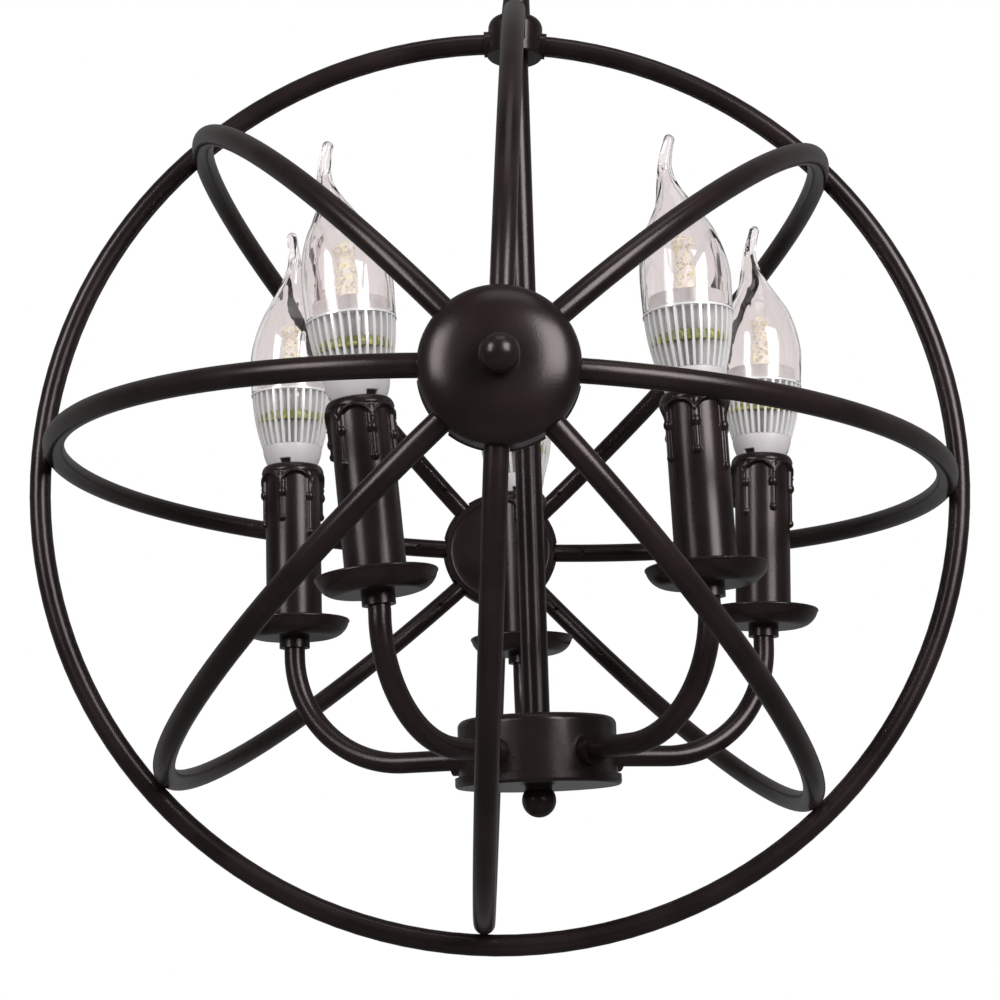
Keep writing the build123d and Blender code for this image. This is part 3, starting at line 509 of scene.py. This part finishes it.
def shift(x: float = 0.0, y: float = 0.0, z: float = 0.0) -> np.ndarray:
    """4x4 matrix of a move, in millimetres."""
    return np.array(Matrix.Translation((x, y, z)))


@dataclass(frozen=True)
class Spot:
    """Where a piece sits: a matrix from its own millimetres to the row frame's millimetres."""

    matrix: np.ndarray

    def moved(self, *steps: np.ndarray) -> "Spot":
        """This spot after more moves in its own axes."""
        made = self.matrix
        for step in steps:
            made = made @ step
        return Spot(made)

    def place(self, points: np.ndarray) -> np.ndarray:
        """Points of any shape (..., 3), carried into the row frame in metres."""
        return (points @ self.matrix[:3, :3].T + self.matrix[:3, 3]) * MM


def smooth_through(at: np.ndarray, knots: Sequence[float], values: Sequence[float]) -> np.ndarray:
    """Cubic Hermite curve through knots, with tangents from their neighbours.

    Args:
        at: Where to read the curve.
        knots: Rising places of the given values.
        values: The values there.

    Returns:
        The curve's values at `at`.
    """
    x = np.asarray(knots, float)
    y = np.asarray(values, float)
    slope = np.gradient(y, x)
    k = np.clip(np.searchsorted(x, at, side="right") - 1, 0, len(x) - 2)
    h = x[k + 1] - x[k]
    t = (np.clip(at, x[0], x[-1]) - x[k]) / h
    return (
        (2 * t**3 - 3 * t**2 + 1) * y[k]
        + (t**3 - 2 * t**2 + t) * h * slope[k]
        + (3 * t**2 - 2 * t**3) * y[k + 1]
        + (t**3 - t**2) * h * slope[k + 1]
    )


def round_step(value: np.ndarray, low: float, high: float) -> np.ndarray:
    """0 below `low`, 1 above `high`, and 3t^2 - 2t^3 between them."""
    t = np.clip((value - low) / (high - low), 0.0, 1.0)
    return t * t * (3 - 2 * t)


def rounded(corners: Sequence[tuple[float, float]], radius: float, steps: int = 4) -> np.ndarray:
    """A profile whose inner corners are rounded by a quadratic curve.

    Each corner c between neighbours a and b becomes (1-t)^2 p + 2t(1-t) c + t^2 q, where p and q
    lie `radius` (or under half a side) from c towards a and b.

    Args:
        corners: Radius and height of the profile's corners.
        radius: How far the rounding starts from a corner.
        steps: Spans in each rounding.

    Returns:
        The points, shape (count, 2).
    """
    c = np.asarray(corners, float)
    before, after = c[:-2] - c[1:-1], c[2:] - c[1:-1]
    length_before = np.linalg.norm(before, axis=1, keepdims=True)
    length_after = np.linalg.norm(after, axis=1, keepdims=True)
    p = c[1:-1] + before / length_before * np.minimum(radius, 0.49 * length_before)
    q = c[1:-1] + after / length_after * np.minimum(radius, 0.49 * length_after)
    t = np.linspace(0.0, 1.0, steps + 1)[None, :, None]
    curve = (1 - t) ** 2 * p[:, None] + 2 * t * (1 - t) * c[1:-1][:, None] + t**2 * q[:, None]
    return np.vstack([c[:1], curve.reshape(-1, 2), c[-1:]])


def lathe(profile: np.ndarray, columns: int) -> np.ndarray:
    """Grid (rows, columns, 3) of a profile of radius and height turned about Z."""
    angle = np.arange(columns) * 2 * math.pi / columns
    radius, height = profile[:, :1], profile[:, 1:]
    return np.stack([radius * np.cos(angle), radius * np.sin(angle), height + 0 * angle], axis=2)


class Piece:
    """A mesh made of grids, whose object sits at the origin."""

    def __init__(self, name: str, smooth: bool = True) -> None:
        """Starts an empty piece of that name, shaded smooth or in flat facets."""
        self.name = name
        self.smooth = smooth
        self.points: list[np.ndarray] = []
        self.quads: list[np.ndarray] = []
        self.triangles: list[np.ndarray] = []
        self.count = 0

    def add_grid(self, grid: np.ndarray, looped: bool = False) -> "Piece":
        """Adds a grid that closes round its columns.

        Args:
            grid: Points (rows, columns, 3), whose rows go along the profile.
            looped: The last row joins the first; otherwise both ends close in a fan.

        Returns:
            The piece itself.
        """
        rows, columns = grid.shape[:2]
        index = self.count + np.arange(rows * columns).reshape(rows, columns)
        upper = np.roll(index, -1, axis=0) if looped else index[1:]
        lower = index if looped else index[:-1]
        near, far = np.roll(lower, -1, axis=1), np.roll(upper, -1, axis=1)
        self.quads.append(np.stack([lower, near, far, upper], axis=2).reshape(-1, 4))
        self.points.append(grid.reshape(-1, 3))
        self.count += rows * columns
        if not looped:
            for row, flip in ((index[0], True), (index[-1], False)):
                centre = self.count
                self.points.append(grid.reshape(-1, 3)[row - index[0, 0]].mean(axis=0, keepdims=True))
                self.count += 1
                after = np.roll(row, -1)
                order = (after, row) if flip else (row, after)
                self.triangles.append(np.stack([*order, np.full_like(row, centre)], axis=1))
        return self

    def add_copies(self, points: np.ndarray, quads: np.ndarray, frames: np.ndarray) -> "Piece":
        """Adds one small mesh at many frames, each a 4x4 matrix."""
        placed = np.einsum("nij,pj->npi", frames[:, :3, :3], points) + frames[:, None, :3, 3]
        offset = self.count + np.arange(len(frames))[:, None, None] * len(points)
        self.quads.append((quads[None] + offset).reshape(-1, 4))
        self.points.append(placed.reshape(-1, 3))
        self.count += placed.shape[0] * placed.shape[1]
        return self

    def build(self, spot: Spot, finish: Finish, body: str, shades: np.ndarray | None = None) -> bpy.types.Object:
        """Makes the object, dresses it and lets it ride on its body.

        Args:
            spot: Where it sits.
            finish: What it is finished in.
            body: The body that carries it.
            shades: A number from 0 to 1 at each point, the share of painted shade there, kept as a mesh attribute.

        Returns:
            The object.
        """
        mesh = bpy.data.meshes.new(self.name)
        points = spot.place(np.vstack(self.points))
        mesh.vertices.add(len(points))
        mesh.vertices.foreach_set("co", points.astype(np.float32).ravel())
        groups = [np.vstack(group) for group in (self.quads, self.triangles) if group]
        loops = np.concatenate([group.ravel() for group in groups])
        totals = np.concatenate([np.full(len(group), group.shape[1]) for group in groups])
        mesh.loops.add(len(loops))
        mesh.loops.foreach_set("vertex_index", loops.astype(np.int32))
        mesh.polygons.add(len(totals))
        mesh.polygons.foreach_set("loop_start", (np.cumsum(totals) - totals).astype(np.int32))
        mesh.polygons.foreach_set("loop_total", totals.astype(np.int32))
        mesh.polygons.foreach_set("use_smooth", np.full(len(totals), self.smooth))
        if shades is not None:
            mesh.attributes.new("slot_shade", "FLOAT", "POINT").data.foreach_set("value", shades.astype(np.float32))
        mesh.update(calc_edges=True)
        made = bpy.data.objects.new(self.name, mesh)
        bpy.context.scene.collection.objects.link(made)
        mesh.materials.append(finish.material())
        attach(made, body)
        return made


class SubAssembly(ABC):
    """A group of pieces that is built and dressed together."""

    @abstractmethod
    def build(self) -> list[str]:
        """Makes and dresses the pieces, and returns their names."""

    @staticmethod
    def dress(nodes: Iterable[str], finish: Finish) -> list[str]:
        """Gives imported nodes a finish.

        Args:
            nodes: Names of the nodes.
            finish: The finish they get.

        Returns:
            The same names.
        """
        names = list(nodes)
        for name in names:
            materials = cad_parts[name].data.materials
            materials.clear()
            materials.append(finish.material())
        return names


# ---------------------------------------------------------------- the chandelier

@dataclass
class Cage(SubAssembly):
    """Ring, arcs, cups and the hanging loop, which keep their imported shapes."""

    coat: Finish = field(default_factory=PowderCoat)
    plate: Finish = field(default_factory=ZincSteel)
    side_arcs: Sequence[int] = (0, 45, 135, 180, 225, 270, 315)

    def build(self) -> list[str]:
        """Dresses the tubes, cups, hub and screws."""
        tubes = ["equator_ring", "top_arc_front", "top_arc_rear"]
        tubes += [f"arc_{angle:03d}" for angle in self.side_arcs]
        cups = ["front_cup", "rear_cup", "front_spider", "rear_spider", "front_finial"]
        top = ["top_hub", "hub_collars", "hanging_loop"]
        names = self.dress(tubes + cups + top + ["grub_screws"], self.coat)
        return names + self.dress(["finial_nut"], self.plate)


@dataclass
class Cluster(SubAssembly):
    """Stem, lower hub, arms and pans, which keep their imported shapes."""

    coat: Finish = field(default_factory=PowderCoat)
    plate: Finish = field(default_factory=ZincSteel)
    sleeve: Finish = field(default_factory=WireSleeve)
    plastic: Finish = field(default_factory=MouldedPlastic)
    arm_names: str = "abdec"

    def build(self) -> list[str]:
        """Dresses the coated, plated, sleeved and moulded nodes."""
        coated = ["stem", "hub_cup", "hub_cover", "arm_collars", "drip_pans", "pan_nuts", "bottom_finial"]
        coated += [f"arm_{name}" for name in self.arm_names]
        names = self.dress(coated, self.coat)
        names += self.dress(["stem_nipples", "nipple_nuts", "tie_rod", "arm_nuts"], self.plate)
        names += self.dress(["wiring"], self.sleeve)
        return names + self.dress(["terminal_block", "lamp_holders"], self.plastic)


@dataclass(frozen=True)
class Light:
    """One candle: its name, its lean about Y, and the headings of its first drip, slot and flame."""

    name: str
    lean: float
    drips: float
    slots: float
    flame: float


@dataclass(frozen=True)
class ArmPlan:
    """Where the cluster's candles stand, in millimetres and degrees, as in the part's source."""

    eye: float = 256.7
    ring_radius: float = 220.0
    stem_lean: float = -3.6
    cluster_turn: float = 2.0
    first_arm: float = -126.0
    spread: float = 120.6
    bend_top: float = -298.5
    lean_bend: float = 30.0
    candle_top: float = -204.6
    lights: tuple[Light, ...] = (
        Light("a", -4.5, -68.0, -58.0, 0.0),
        Light("b", -1.5, -96.0, -30.0, 0.0),
        Light("d", 2.4, -73.0, -127.0, 10.0),
        Light("e", 0.0, -90.0, -90.0, 0.0),
        Light("c", 0.0, -108.0, -102.0, 118.0),
    )

    def candle(self, light: Light) -> Spot:
        """The spot at a candle's top, with X to the viewer's right and Z along the candle."""
        arm = self.first_arm + 360.0 / len(self.lights) * self.lights.index(light)
        side = math.copysign(self.lean_bend, light.lean)
        risen = self.bend_top + self.lean_bend * math.radians(abs(light.lean))
        return Spot(shift(z=self.ring_radius - self.eye)).moved(
            turn("Y", self.stem_lean), turn("Z", self.cluster_turn),
            turn("Z", arm), shift(x=self.spread, z=self.bend_top), turn("Z", -arm),
            shift(x=side), turn("Y", light.lean), shift(x=-side),
            turn("Z", -self.cluster_turn), shift(z=self.candle_top - risen),
        )


@dataclass
class CandleCover(SubAssembly):
    """Tube with a soft wax shoulder, arches with a raised lip, and two-stage drips."""

    light: Light
    spot: Spot
    coat: Finish = field(default_factory=PowderCoat)
    radius: float = 13.5
    bore: float = 12.25
    length: float = 84.2
    shoulder: float = 1.9
    crown_in: float = 2.6
    crown_down: float = 5.2
    shoulder_end: float = 4.8
    arch_top: float = 5.6
    arch_drop: float = 7.5
    skirt: float = 1.45
    lip: float = 0.75
    lip_inset: float = 1.1
    lip_spread: float = 0.9
    wide_drips: Sequence[float] = (17.0, 19.0, 18.0, 16.0, 20.0, 17.0)
    wide_half: float = 2.3
    wide_thick: float = 1.8
    thin_drips: Sequence[float] = (29.0, 36.0, 27.0, 33.0, 25.0, 31.0)
    thin_half: float = 1.6
    thin_thick: float = 1.3
    bead_extra: float = 0.35
    bead_rise: float = 0.6
    merge: float = 5.0
    wax_end: float = 40.0
    columns: int = 300

    def relief(self, angle: np.ndarray, depth: np.ndarray) -> np.ndarray:
        """Height of the wax over the tube.

        The wax is the smooth maximum of a skirt whose lower edge follows an arch between each
        pair of drips, a wide drip, and a thin drip under it, each drip ending in a bead.

        Args:
            angle: Angles about the tube, in radians.
            depth: Depth below the top, in millimetres, of the same shape.

        Returns:
            The height in millimetres.
        """
        count = len(self.wide_drips)
        pitch = 2 * math.pi / count
        turns = angle / pitch
        nearest = np.round(turns)
        index = nearest.astype(int) % count
        reach = self.radius + self.shoulder
        across = (turns - nearest) * pitch * reach
        half = pitch * reach / 2
        away = np.clip(np.abs(across) / half, 0.0, 1.0)
        edge = self.arch_top + self.arch_drop * (1 - np.sqrt(np.clip(1 - (1 - away) ** 2, 0.0, 1.0)))
        inside = edge - depth
        lip = self.skirt + self.lip * np.exp(-((inside - self.lip_inset) / self.lip_spread) ** 2)
        swell = self.shoulder * round_step(self.shoulder_end - depth, -1.5, 1.5)
        heights = [np.maximum(lip, swell) * round_step(inside, -0.2, 0.9)]
        for tips, width, thick in (
            (self.wide_drips, self.wide_half, self.wide_thick),
            (self.thin_drips, self.thin_half, self.thin_thick),
        ):
            tip = np.asarray(tips)[index]
            flow = np.sqrt(np.clip(1 - (across / width) ** 2, 0.0, 1.0)) * thick
            flow = flow * round_step(tip - depth, -0.1, 1.0) * round_step(depth, 2.0, 6.0)
            ball = width + self.bead_extra
            bead = 1 - (across / ball) ** 2 - ((depth - tip + width) / ball) ** 2
            heights += [flow, np.sqrt(np.clip(bead, 0.0, 1.0)) * (thick + self.bead_rise)]
        stack = np.stack(heights)
        return np.log(np.exp(self.merge * stack).sum(axis=0) - len(heights) + 1) / self.merge

    def build(self) -> list[str]:
        """Grid of angle and a path over the elliptical shoulder, down the side and up inside."""
        bow = np.linspace(0.0, math.pi / 2, 28)
        down = np.concatenate([
            self.crown_down * (1 - np.cos(bow)),
            np.linspace(self.crown_down + 0.3, self.wax_end, 140),
            np.linspace(self.wax_end + 2.0, self.length, 12),
        ])
        angle = np.arange(self.columns) * 2 * math.pi / self.columns
        around, depth = np.meshgrid(angle, down)
        crown = np.clip(1 - depth / self.crown_down, 0.0, 1.0)
        outer = self.radius + self.relief(around, depth) - self.crown_in * (1 - np.sqrt(1 - crown**2))
        inner_depth = np.linspace(self.length, 0.0, 10)[:, None] + 0 * angle
        radius = np.vstack([outer, np.full_like(inner_depth, self.bore)])
        height = -np.vstack([depth, inner_depth])
        grid = np.stack([radius * np.cos(angle), radius * np.sin(angle), height], axis=2)[::-1]
        piece = Piece(f"wax_candle_{self.light.name}").add_grid(grid, looped=True)
        made = piece.build(self.spot.moved(turn("Z", self.light.drips)), self.coat, "cluster")
        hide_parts(f"candle_cover_{self.light.name}")
        return [made.name]


@dataclass
class Bulb(SubAssembly):
    """Flame-shaped LED bulb: glass, light guide, board, finned body, slotted collar and screw cap."""

    light: Light
    spot: Spot
    collar_height: float = 9.5
    collar_foot: float = 11.9
    collar_top: float = 14.5
    recess: float = 2.0
    slot_count: int = 3
    slot_width: float = 5.0
    slot_height: float = 2.2
    slot_depth: float = 1.2
    sink_height: float = 27.0
    band_height: float = 7.4
    board_outer: float = 17.2
    board_inner: float = 12.2
    board_thickness: float = 4.2
    guide_facets: int = 10
    guide: Sequence[tuple[float, float]] = (
        (9.4, -0.3), (9.2, 1.5), (5.9, 2.4), (5.6, 4.0), (5.4, 7.0), (5.1, 10.6), (4.7, 14.2),
        (4.1, 17.6), (3.9, 20.4), (4.9, 23.0), (5.1, 25.4), (3.6, 27.4), (0.3, 27.9),
    )
    chip_count: int = 12
    chip_circle: float = 11.6
    chip_half: tuple[float, float] = (1.5, 1.3)
    chip_rise: float = 0.9
    cap_radius: float = 6.9
    cap_length: float = 16.0
    cap_tip: float = 2.0
    thread_pitch: float = 2.8
    thread_depth: float = 1.3
    columns: int = 72
    wall: float = 1.9
    solid_tip: float = 11.0
    hollow_dome: float = 2.0
    lobes: int = 5
    lobe_depth: tuple[float, float] = (0.003, 0.042)
    twist: float = 150.0
    glass_columns: int = 120
    flame: Sequence[tuple[float, float, float]] = (
        (0.0, 19.8, 0.0),
        (8.0, 20.1, 0.0),
        (17.0, 20.2, 0.0),
        (25.0, 19.3, -0.4),
        (32.5, 17.5, -0.9),
        (39.5, 14.8, -1.4),
        (46.5, 11.0, -2.1),
        (53.5, 7.6, -3.2),
        (60.5, 5.0, -4.8),
        (67.5, 3.4, -5.5),
        (74.5, 2.9, -4.6),
        (81.0, 2.6, -2.8),
    )

    @property
    def body(self) -> str:
        """The body that carries the bulb."""
        return f"bulb_{self.light.name}"

    @property
    def flange(self) -> float:
        """Height of the flange that the glass stands on."""
        return self.collar_height + self.sink_height

    def build(self) -> list[str]:
        """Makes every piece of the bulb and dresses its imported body."""
        base = [self.collar(), self.screw_cap(), self.contact(), self.board(), self.light_guide(), self.chips()]
        for made in base:
            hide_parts(f"{self.body}_base")
        glass = self.glass()
        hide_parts(f"{self.body}_glass")
        return [made.name for made in base + [glass]] + self.dress([f"{self.body}_body"], PolishedAluminium())

    def collar(self) -> bpy.types.Object:
        """Bowl-shaped collar whose side is drawn in at its slots, near its foot."""
        side = np.linspace(0.0, 1.0, 60)
        radius = self.collar_foot + (self.collar_top - self.collar_foot) * np.sin(side * math.pi / 2) ** 0.9
        foot = rounded(((self.cap_radius, -self.recess), (self.collar_foot - 0.4, -self.recess),
                        (self.collar_foot, -0.3)), 0.4)
        top = rounded(((self.collar_top, self.collar_height - 0.02), (self.collar_top - 0.3, self.collar_height),
                       (self.cap_radius, self.collar_height)), 0.2)
        bowl = np.stack([radius, side * (self.collar_height - 0.05)], axis=1)
        grid = lathe(np.vstack([foot, bowl, top]), 240)
        half_step = math.pi / self.slot_count
        angle = np.arctan2(grid[..., 1], grid[..., 0])
        across = (np.mod(angle + half_step, 2 * half_step) - half_step) * self.collar_foot
        height = grid[..., 2]
        inside = round_step(self.slot_width / 2 - np.abs(across), -0.12, 0.12)
        inside *= round_step(height, 0.0, 0.3) * round_step(self.slot_height + 0.1 - height, -0.12, 0.12)
        reach = np.hypot(grid[..., 0], grid[..., 1])
        inside *= reach > self.collar_foot - 0.5
        grid[..., :2] *= (1 - inside * self.slot_depth / reach)[..., None]
        piece = Piece(f"{self.body}_collar").add_grid(grid)
        # The slot mask also sets where the collar's material paints shade.
        shades = np.concatenate([inside.ravel(), [0.0, 0.0]])
        return piece.build(self.spot.moved(turn("Z", self.light.slots)), MouldedPlastic(), self.body, shades)

    def screw_cap(self) -> bpy.types.Object:
        """Shell whose radius follows a cosine that climbs one pitch in each turn."""
        height = np.linspace(-self.recess - self.cap_length, -self.recess + 0.2, 90)
        angle = np.arange(self.columns) * 2 * math.pi / self.columns
        wave = 0.5 + 0.5 * np.cos(2 * math.pi * height[:, None] / self.thread_pitch - angle)
        low = round_step(height, height[0], height[0] + 1.6)[:, None]
        radius = (self.cap_radius - self.thread_depth) + self.thread_depth * low * (0.45 + 0.55 * wave * low)
        grid = np.stack([radius * np.cos(angle), radius * np.sin(angle), height[:, None] + 0 * angle], axis=2)
        return Piece(f"{self.body}_screw_cap").add_grid(grid).build(self.spot, NickelShell(), self.body)

    def contact(self) -> bpy.types.Object:
        """Round contact under the cap, with a soft solder drop at its middle."""
        end = -self.recess - self.cap_length
        profile = rounded(((0.05, end - self.cap_tip), (1.6, end - self.cap_tip), (1.9, end - 1.2),
                           (3.6, end - 0.9), (3.6, end + 0.4), (0.05, end + 0.4)), 0.5)
        return Piece(f"{self.body}_contact").add_grid(lathe(profile, 48)).build(self.spot, NickelShell(), self.body)

    def board(self) -> bpy.types.Object:
        """Ring of square section with soft edges, halfway up the fins."""
        low = self.collar_height + (self.sink_height - self.board_thickness) / 2
        high = low + self.board_thickness
        ring = ((self.board_inner, (low + high) / 2), (self.board_inner, low), (self.board_outer, low),
                (self.board_outer, high), (self.board_inner, high), (self.board_inner, (low + high) / 2))
        grid = lathe(rounded(ring, 0.15, 3)[:-1], 120)
        return Piece(f"{self.body}_board").add_grid(grid, looped=True).build(self.spot, CircuitBoard(), self.body)

    def light_guide(self) -> bpy.types.Object:
        """Faceted column with a neck and a knob: each ring of corners stands half a facet further round."""
        profile = np.asarray(self.guide)
        step = 2 * math.pi / self.guide_facets
        angle = np.arange(self.guide_facets) * step + (np.arange(len(profile)) % 2)[:, None] * step / 2
        height = profile[:, 1:] + self.flange + self.band_height
        radius = profile[:, :1]
        grid = np.stack([radius * np.cos(angle), radius * np.sin(angle), height + 0 * angle], axis=2)
        piece = Piece(f"{self.body}_light_guide", smooth=False).add_grid(grid)
        return piece.build(self.spot, CutGlitter(), self.body)

    def chips(self) -> bpy.types.Object:
        """A pillow-shaped chip, repeated in a circle on the band's top round the light guide."""
        side = 5
        u, v = np.meshgrid(np.linspace(-1, 1, side), np.linspace(-1, 1, side))
        dome = self.chip_rise * (1 - np.maximum(np.abs(u), np.abs(v)) ** 4)
        points = np.stack([(u * self.chip_half[0]).ravel(), (v * self.chip_half[1]).ravel(), dome.ravel()], axis=1)
        i = np.arange(side * side).reshape(side, side)
        quads = np.stack([i[:-1, :-1], i[:-1, 1:], i[1:, 1:], i[1:, :-1]], axis=2).reshape(-1, 4)
        top = self.flange + self.band_height
        frames = np.array([
            turn("Z", 360 * step / self.chip_count) @ shift(x=self.chip_circle, z=top)
            for step in range(self.chip_count)
        ])
        return Piece(f"{self.body}_chips").add_copies(points, quads, frames).build(self.spot, Phosphor(), self.body)

    def shell(self, height: np.ndarray, inset: float) -> np.ndarray:
        """Rings of the flame: radius times 1 + depth cos(lobes (angle - twist)), about a leaning centre.

        Args:
            height: Heights above the flange.
            inset: How far the wall is drawn in.

        Returns:
            Grid (rows, columns, 3).
        """
        knots = np.asarray(self.flame)
        total = knots[-1, 0]
        angle = np.arange(self.glass_columns) * 2 * math.pi / self.glass_columns
        radius = smooth_through(height, knots[:, 0], knots[:, 1])[:, None] - inset
        lean = smooth_through(height, knots[:, 0], knots[:, 2])[:, None]
        share = (height / total)[:, None]
        depth = self.lobe_depth[0] + self.lobe_depth[1] * round_step(share, 0.25, 0.8)
        swirl = angle - math.radians(self.twist) * share**1.5
        wave = radius * (1 + depth * (np.cos(self.lobes * swirl) - 1))
        return np.stack([wave * np.cos(angle) + lean, wave * np.sin(angle), height[:, None] + 0 * angle], axis=2)

    def glass(self) -> bpy.types.Object:
        """Twisted flame: outside from the round tip to the foot, and up inside to a domed end."""
        total, tip_radius, _ = self.flame[-1]
        share = np.linspace(0.0, 1.0, 100)
        outside = self.shell(total * (1 - share), 0.0)
        hollow = total - self.solid_tip - self.hollow_dome
        inside = self.shell(share[:70] / share[69] * hollow, self.wall)
        arc = np.linspace(0.06, 1.0, 8)[:, None, None] * math.pi / 2
        tip = self.dome(outside[:1], np.sin(arc), tip_radius * np.cos(arc))
        hollow_end = self.dome(inside[-1:], np.cos(arc), self.hollow_dome * np.sin(arc))
        grid = np.concatenate([tip[:-1], outside, inside, hollow_end[:-1]])[::-1].copy()
        grid[..., 2] += self.flange
        spot = self.spot.moved(turn("Z", self.light.flame))
        return Piece(f"{self.body}_flame").add_grid(grid).build(spot, FlameGlass(), self.body)

    @staticmethod
    def dome(ring: np.ndarray, width: np.ndarray, rise: np.ndarray) -> np.ndarray:
        """Rings over an end: the end ring drawn towards its middle by `width` and lifted by `rise`."""
        middle = ring.mean(axis=1, keepdims=True)
        return middle + (ring - middle) * width + rise * np.array([0.0, 0.0, 1.0])


# ---------------------------------------------------------------- studio

@dataclass(frozen=True)
class Softbox:
    """A soft rectangular lamp: where it hangs, its size in metres and the brightness of its face."""

    name: str
    place: tuple[float, float, float]
    size: tuple[float, float]
    radiance: float

    def hang(self, target: Sequence[float]) -> None:
        """Makes the lamp and turns it to a target."""
        data = bpy.data.lights.new(self.name, "AREA")
        data.shape = "RECTANGLE"
        data.size, data.size_y = self.size
        data.energy = self.radiance * math.pi * self.size[0] * self.size[1]
        lamp = bpy.data.objects.new(self.name, data)
        bpy.context.scene.collection.objects.link(lamp)
        turned = Matrix(Viewer.facing(np.asarray(target) - np.asarray(self.place))).to_4x4()
        lamp.matrix_world = Matrix.Translation(self.place) @ turned


@dataclass
class Studio:
    """Pale floor, white surroundings and soft lamps."""

    floor_height: float = -1.15
    floor_half: float = 2.6
    fade_start: float = 0.5
    floor_grain: float = 40.0
    floor_colour: Colour = (0.86, 0.86, 0.86)
    floor_bounce: Colour = (0.16, 0.15, 0.15)
    middle: tuple[float, float, float] = (0.0, 0.0, -0.26)
    plain: float = 0.42
    mirrored: float = 0.07
    mirrored_rear: float = 0.20
    refracted: float = 0.92
    rear_start: float = -0.10
    rear_full: float = 0.60
    lamps: tuple[Softbox, ...] = (
        Softbox("key_right", (0.90, -1.26, 0.36), (0.80, 1.00), 8.0),
        Softbox("key_left", (-1.12, -1.14, 0.22), (0.55, 0.90), 6.8),
        Softbox("fill_top", (0.10, -0.60, 1.25), (0.90, 0.60), 1.0),
    )

    def build(self) -> list[str]:
        """Makes the floor, the surroundings and the lamps."""
        self.floor()
        self.surroundings()
        for lamp in self.lamps:
            lamp.hang(self.middle)
        return ["floor", "surroundings"] + [lamp.name for lamp in self.lamps]

    def floor(self) -> None:
        """A pale sheet below, which throws little light back up and fades out at its border."""
        half, z = self.floor_half, self.floor_height
        mesh = bpy.data.meshes.new("floor")
        mesh.from_pydata([(-half, -half, z), (half, -half, z), (half, half, z), (-half, half, z)], [], [(0, 1, 2, 3)])
        sheet = bpy.data.objects.new("floor", mesh)
        bpy.context.scene.collection.objects.link(sheet)
        material = bpy.data.materials.new("pale_floor")
        material.use_nodes = True
        paint = Paint(material.node_tree)
        grain = paint.noise(self.floor_grain)
        seen = paint.node("ShaderNodeLightPath", output="Is Camera Ray")
        clouded = tuple(0.98 * part for part in self.floor_colour)
        shade = paint.blend(grain, self.floor_colour, clouded)
        shade = paint.blend(seen, self.floor_bounce, shade)
        across, along = paint.spot().part("X"), paint.spot().part("Y")
        away = (across * across + along * along) ** 0.5
        fade = 1 - away.rise(self.fade_start, self.floor_half)
        paint.surface("ShaderNodeBsdfPrincipled", {"Base Color": shade, "Roughness": 0.8, "Alpha": fade})
        mesh.materials.append(material)

    def surroundings(self) -> None:
        """White to the camera, near white through glass, dim to gloss but brighter at the rear, plain to the rest."""
        world = bpy.data.worlds.new("surroundings")
        bpy.context.scene.world = world
        world.use_nodes = True
        paint = Paint(world.node_tree)
        camera = paint.node("ShaderNodeLightPath", output="Is Camera Ray")
        glossy = paint.node("ShaderNodeLightPath", output="Is Glossy Ray")
        through = paint.node("ShaderNodeLightPath", output="Is Transmission Ray")
        depth = paint.node("ShaderNodeTexCoord", output="Generated").part("Y")
        rear = depth.rise(self.rear_start, self.rear_full)
        mirror = self.mirrored + (self.mirrored_rear - self.mirrored) * rear
        glass = self.refracted + (1 - self.refracted) * rear
        opaque = glossy * mirror + (1 - glossy) * self.plain
        strength = camera + (1 - camera) * (through * glass + (1 - through) * opaque)
        light = paint.node("ShaderNodeBackground", {}, {"Color": (1.0, 1.0, 1.0), "Strength": strength})
        paint.node_out("ShaderNodeOutputWorld", light)


@dataclass
class Viewer:
    """The camera, where the photograph was taken from."""

    place: Sequence[float] = (0.0085, -1.0485, -0.4745)
    yaw: float = 0.440
    pitch: float = 11.150
    roll: float = -1.970
    lens: float = 80.50
    sensor: float = 36.0

    @staticmethod
    def facing(way: np.ndarray) -> np.ndarray:
        """3x3 matrix whose -Z looks along a direction and whose Y is as upright as it can be."""
        back = -way / np.linalg.norm(way)
        right = np.cross([0.0, 0.0, 1.0], back)
        right /= np.linalg.norm(right)
        return np.stack([right, np.cross(back, right), back], axis=1)

    def build(self) -> list[str]:
        """Makes the camera: it looks along +Y, then rolls, pitches and yaws."""
        data = bpy.data.cameras.new("viewer")
        data.lens, data.sensor_width = self.lens, self.sensor
        data.clip_start, data.clip_end = 0.02, 60.0
        camera = bpy.data.objects.new("viewer", data)
        bpy.context.scene.collection.objects.link(camera)
        stand = turn("Z", self.yaw) @ turn("X", self.pitch) @ turn("Y", self.roll) @ turn("X", 90.0)
        camera.matrix_world = Matrix.Translation(self.place) @ Matrix(stand)
        bpy.context.scene.camera = camera
        return ["viewer"]


def main() -> None:
    """Builds and dresses the chandelier, sets the studio and the camera, and reports each piece."""
    logging.basicConfig(level=logging.INFO, format="%(name)s: %(message)s")
    bpy.context.scene.view_settings.view_transform = "Standard"
    plan = ArmPlan()
    groups: list[Any] = [Cage(), Cluster()]
    for light in plan.lights:
        groups += [CandleCover(light, plan.candle(light)), Bulb(light, plan.candle(light))]
    groups += [Studio(), Viewer()]
    for group in groups:
        for piece in group.build():
            LOG.info("%s: %s", type(group).__name__, piece)


if __name__ == "__main__":
    main()
